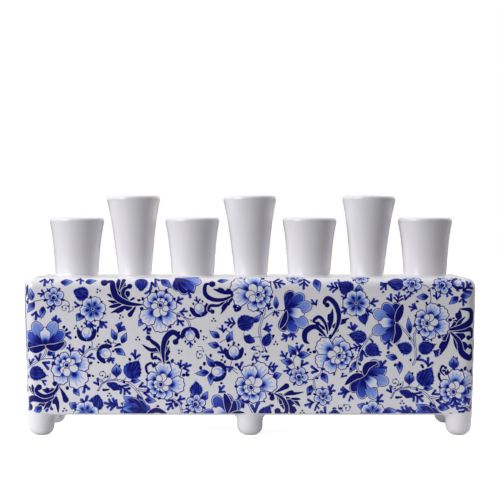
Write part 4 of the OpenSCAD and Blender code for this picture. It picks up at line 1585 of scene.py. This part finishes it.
floor_mesh = bpy.data.meshes.new("floor")
floor_mesh.from_pydata([(-6, -6, 0), (6, -6, 0), (6, 6, 0), (-6, 6, 0)], [], [(0, 1, 2, 3)])
floor = bpy.data.objects.new("floor", floor_mesh)
bpy.context.scene.collection.objects.link(floor)
floor_mat, floor_tree, floor_bsdf = new_material("floor_paper", 0.8)
# White paper that glows a little under the vase and shows white everywhere, but gives the glaze nothing
# bright to mirror further out.
spot = floor_tree.nodes.new("ShaderNodeNewGeometry").outputs["Position"]
reach = floor_tree.nodes.new("ShaderNodeVectorMath")
reach.operation = "MULTIPLY"
reach.inputs[1].default_value = (0.35, 1.0, 0.0)
link(floor_tree, spot, reach.inputs[0])
far = floor_tree.nodes.new("ShaderNodeVectorMath")
far.operation = "LENGTH"
link(floor_tree, reach.outputs["Vector"], far.inputs[0])
fade = floor_tree.nodes.new("ShaderNodeMapRange")
fade.interpolation_type = "SMOOTHSTEP"
link(floor_tree, far.outputs["Value"], fade.inputs["Value"])
for socket, value in (("From Min", 0.07), ("From Max", 0.24), ("To Min", 1.0), ("To Max", 0.07)):
    fade.inputs[socket].default_value = value
near = fade.outputs["Result"]
link(floor_tree, ramp(floor_tree, near, [(0.0, (0.0, 0.0, 0.0)), (1.0, (0.68, 0.68, 0.69))]),
     floor_bsdf.inputs["Base Color"])
seen = floor_tree.nodes.new("ShaderNodeLightPath").outputs["Is Camera Ray"]
paper = floor_tree.nodes.new("ShaderNodeEmission")
both = floor_tree.nodes.new("ShaderNodeAddShader")
hidden = math_node(floor_tree, "MULTIPLY", near, 0.03)
shown = math_node(floor_tree, "MULTIPLY_ADD", near, -0.2, 1.0)
link(floor_tree, math_node(floor_tree, "MAXIMUM", hidden, math_node(floor_tree, "MULTIPLY", seen, shown)),
     paper.inputs["Strength"])
link(floor_tree, floor_bsdf.outputs["BSDF"], both.inputs[0])
link(floor_tree, paper.outputs["Emission"], both.inputs[1])
link(floor_tree, both.outputs["Shader"], floor_tree.nodes["Material Output"].inputs["Surface"])
floor_mesh.materials.append(floor_mat)

world = bpy.data.worlds.new("studio")
world.use_nodes = True
backdrop = world.node_tree.nodes["Background"]
backdrop.inputs["Color"].default_value = (1.0, 1.0, 1.0, 1)
# A white backdrop all round, which lights the vase less than it shows, and least from the front, where a
# studio is dark.
tree = world.node_tree
sky = tree.nodes.new("ShaderNodeTexCoord").outputs["Generated"]
towards = tree.nodes.new("ShaderNodeVectorMath")
towards.operation = "DOT_PRODUCT"
towards.inputs[1].default_value = (0.25, -0.97, 0.0)
link(tree, sky, towards.inputs[0])
glow = tree.nodes.new("ShaderNodeMapRange")
glow.interpolation_type = "SMOOTHSTEP"
link(tree, towards.outputs["Value"], glow.inputs["Value"])
for socket, value in (("From Min", 0.1), ("From Max", 0.8), ("To Min", 0.68), ("To Max", 0.08)):
    glow.inputs[socket].default_value = value
shown = tree.nodes.new("ShaderNodeLightPath").outputs["Is Camera Ray"]
link(tree, math_node(tree, "MAXIMUM", glow.outputs["Result"], shown), backdrop.inputs["Strength"])
bpy.context.scene.world = world
bpy.context.scene.view_settings.view_transform = "Standard"

# Square to the front, from a little above the deck.
cam = bpy.data.cameras.new("camera")
cam.lens = 92.6
cam.sensor_width = 36
cam.shift_y = -0.0412
camera = bpy.data.objects.new("camera", cam)
camera.location = (0.0, -0.8875, 0.137)
camera.rotation_euler = (math.radians(90), 0, 0)
bpy.context.scene.collection.objects.link(camera)
bpy.context.scene.camera = camera
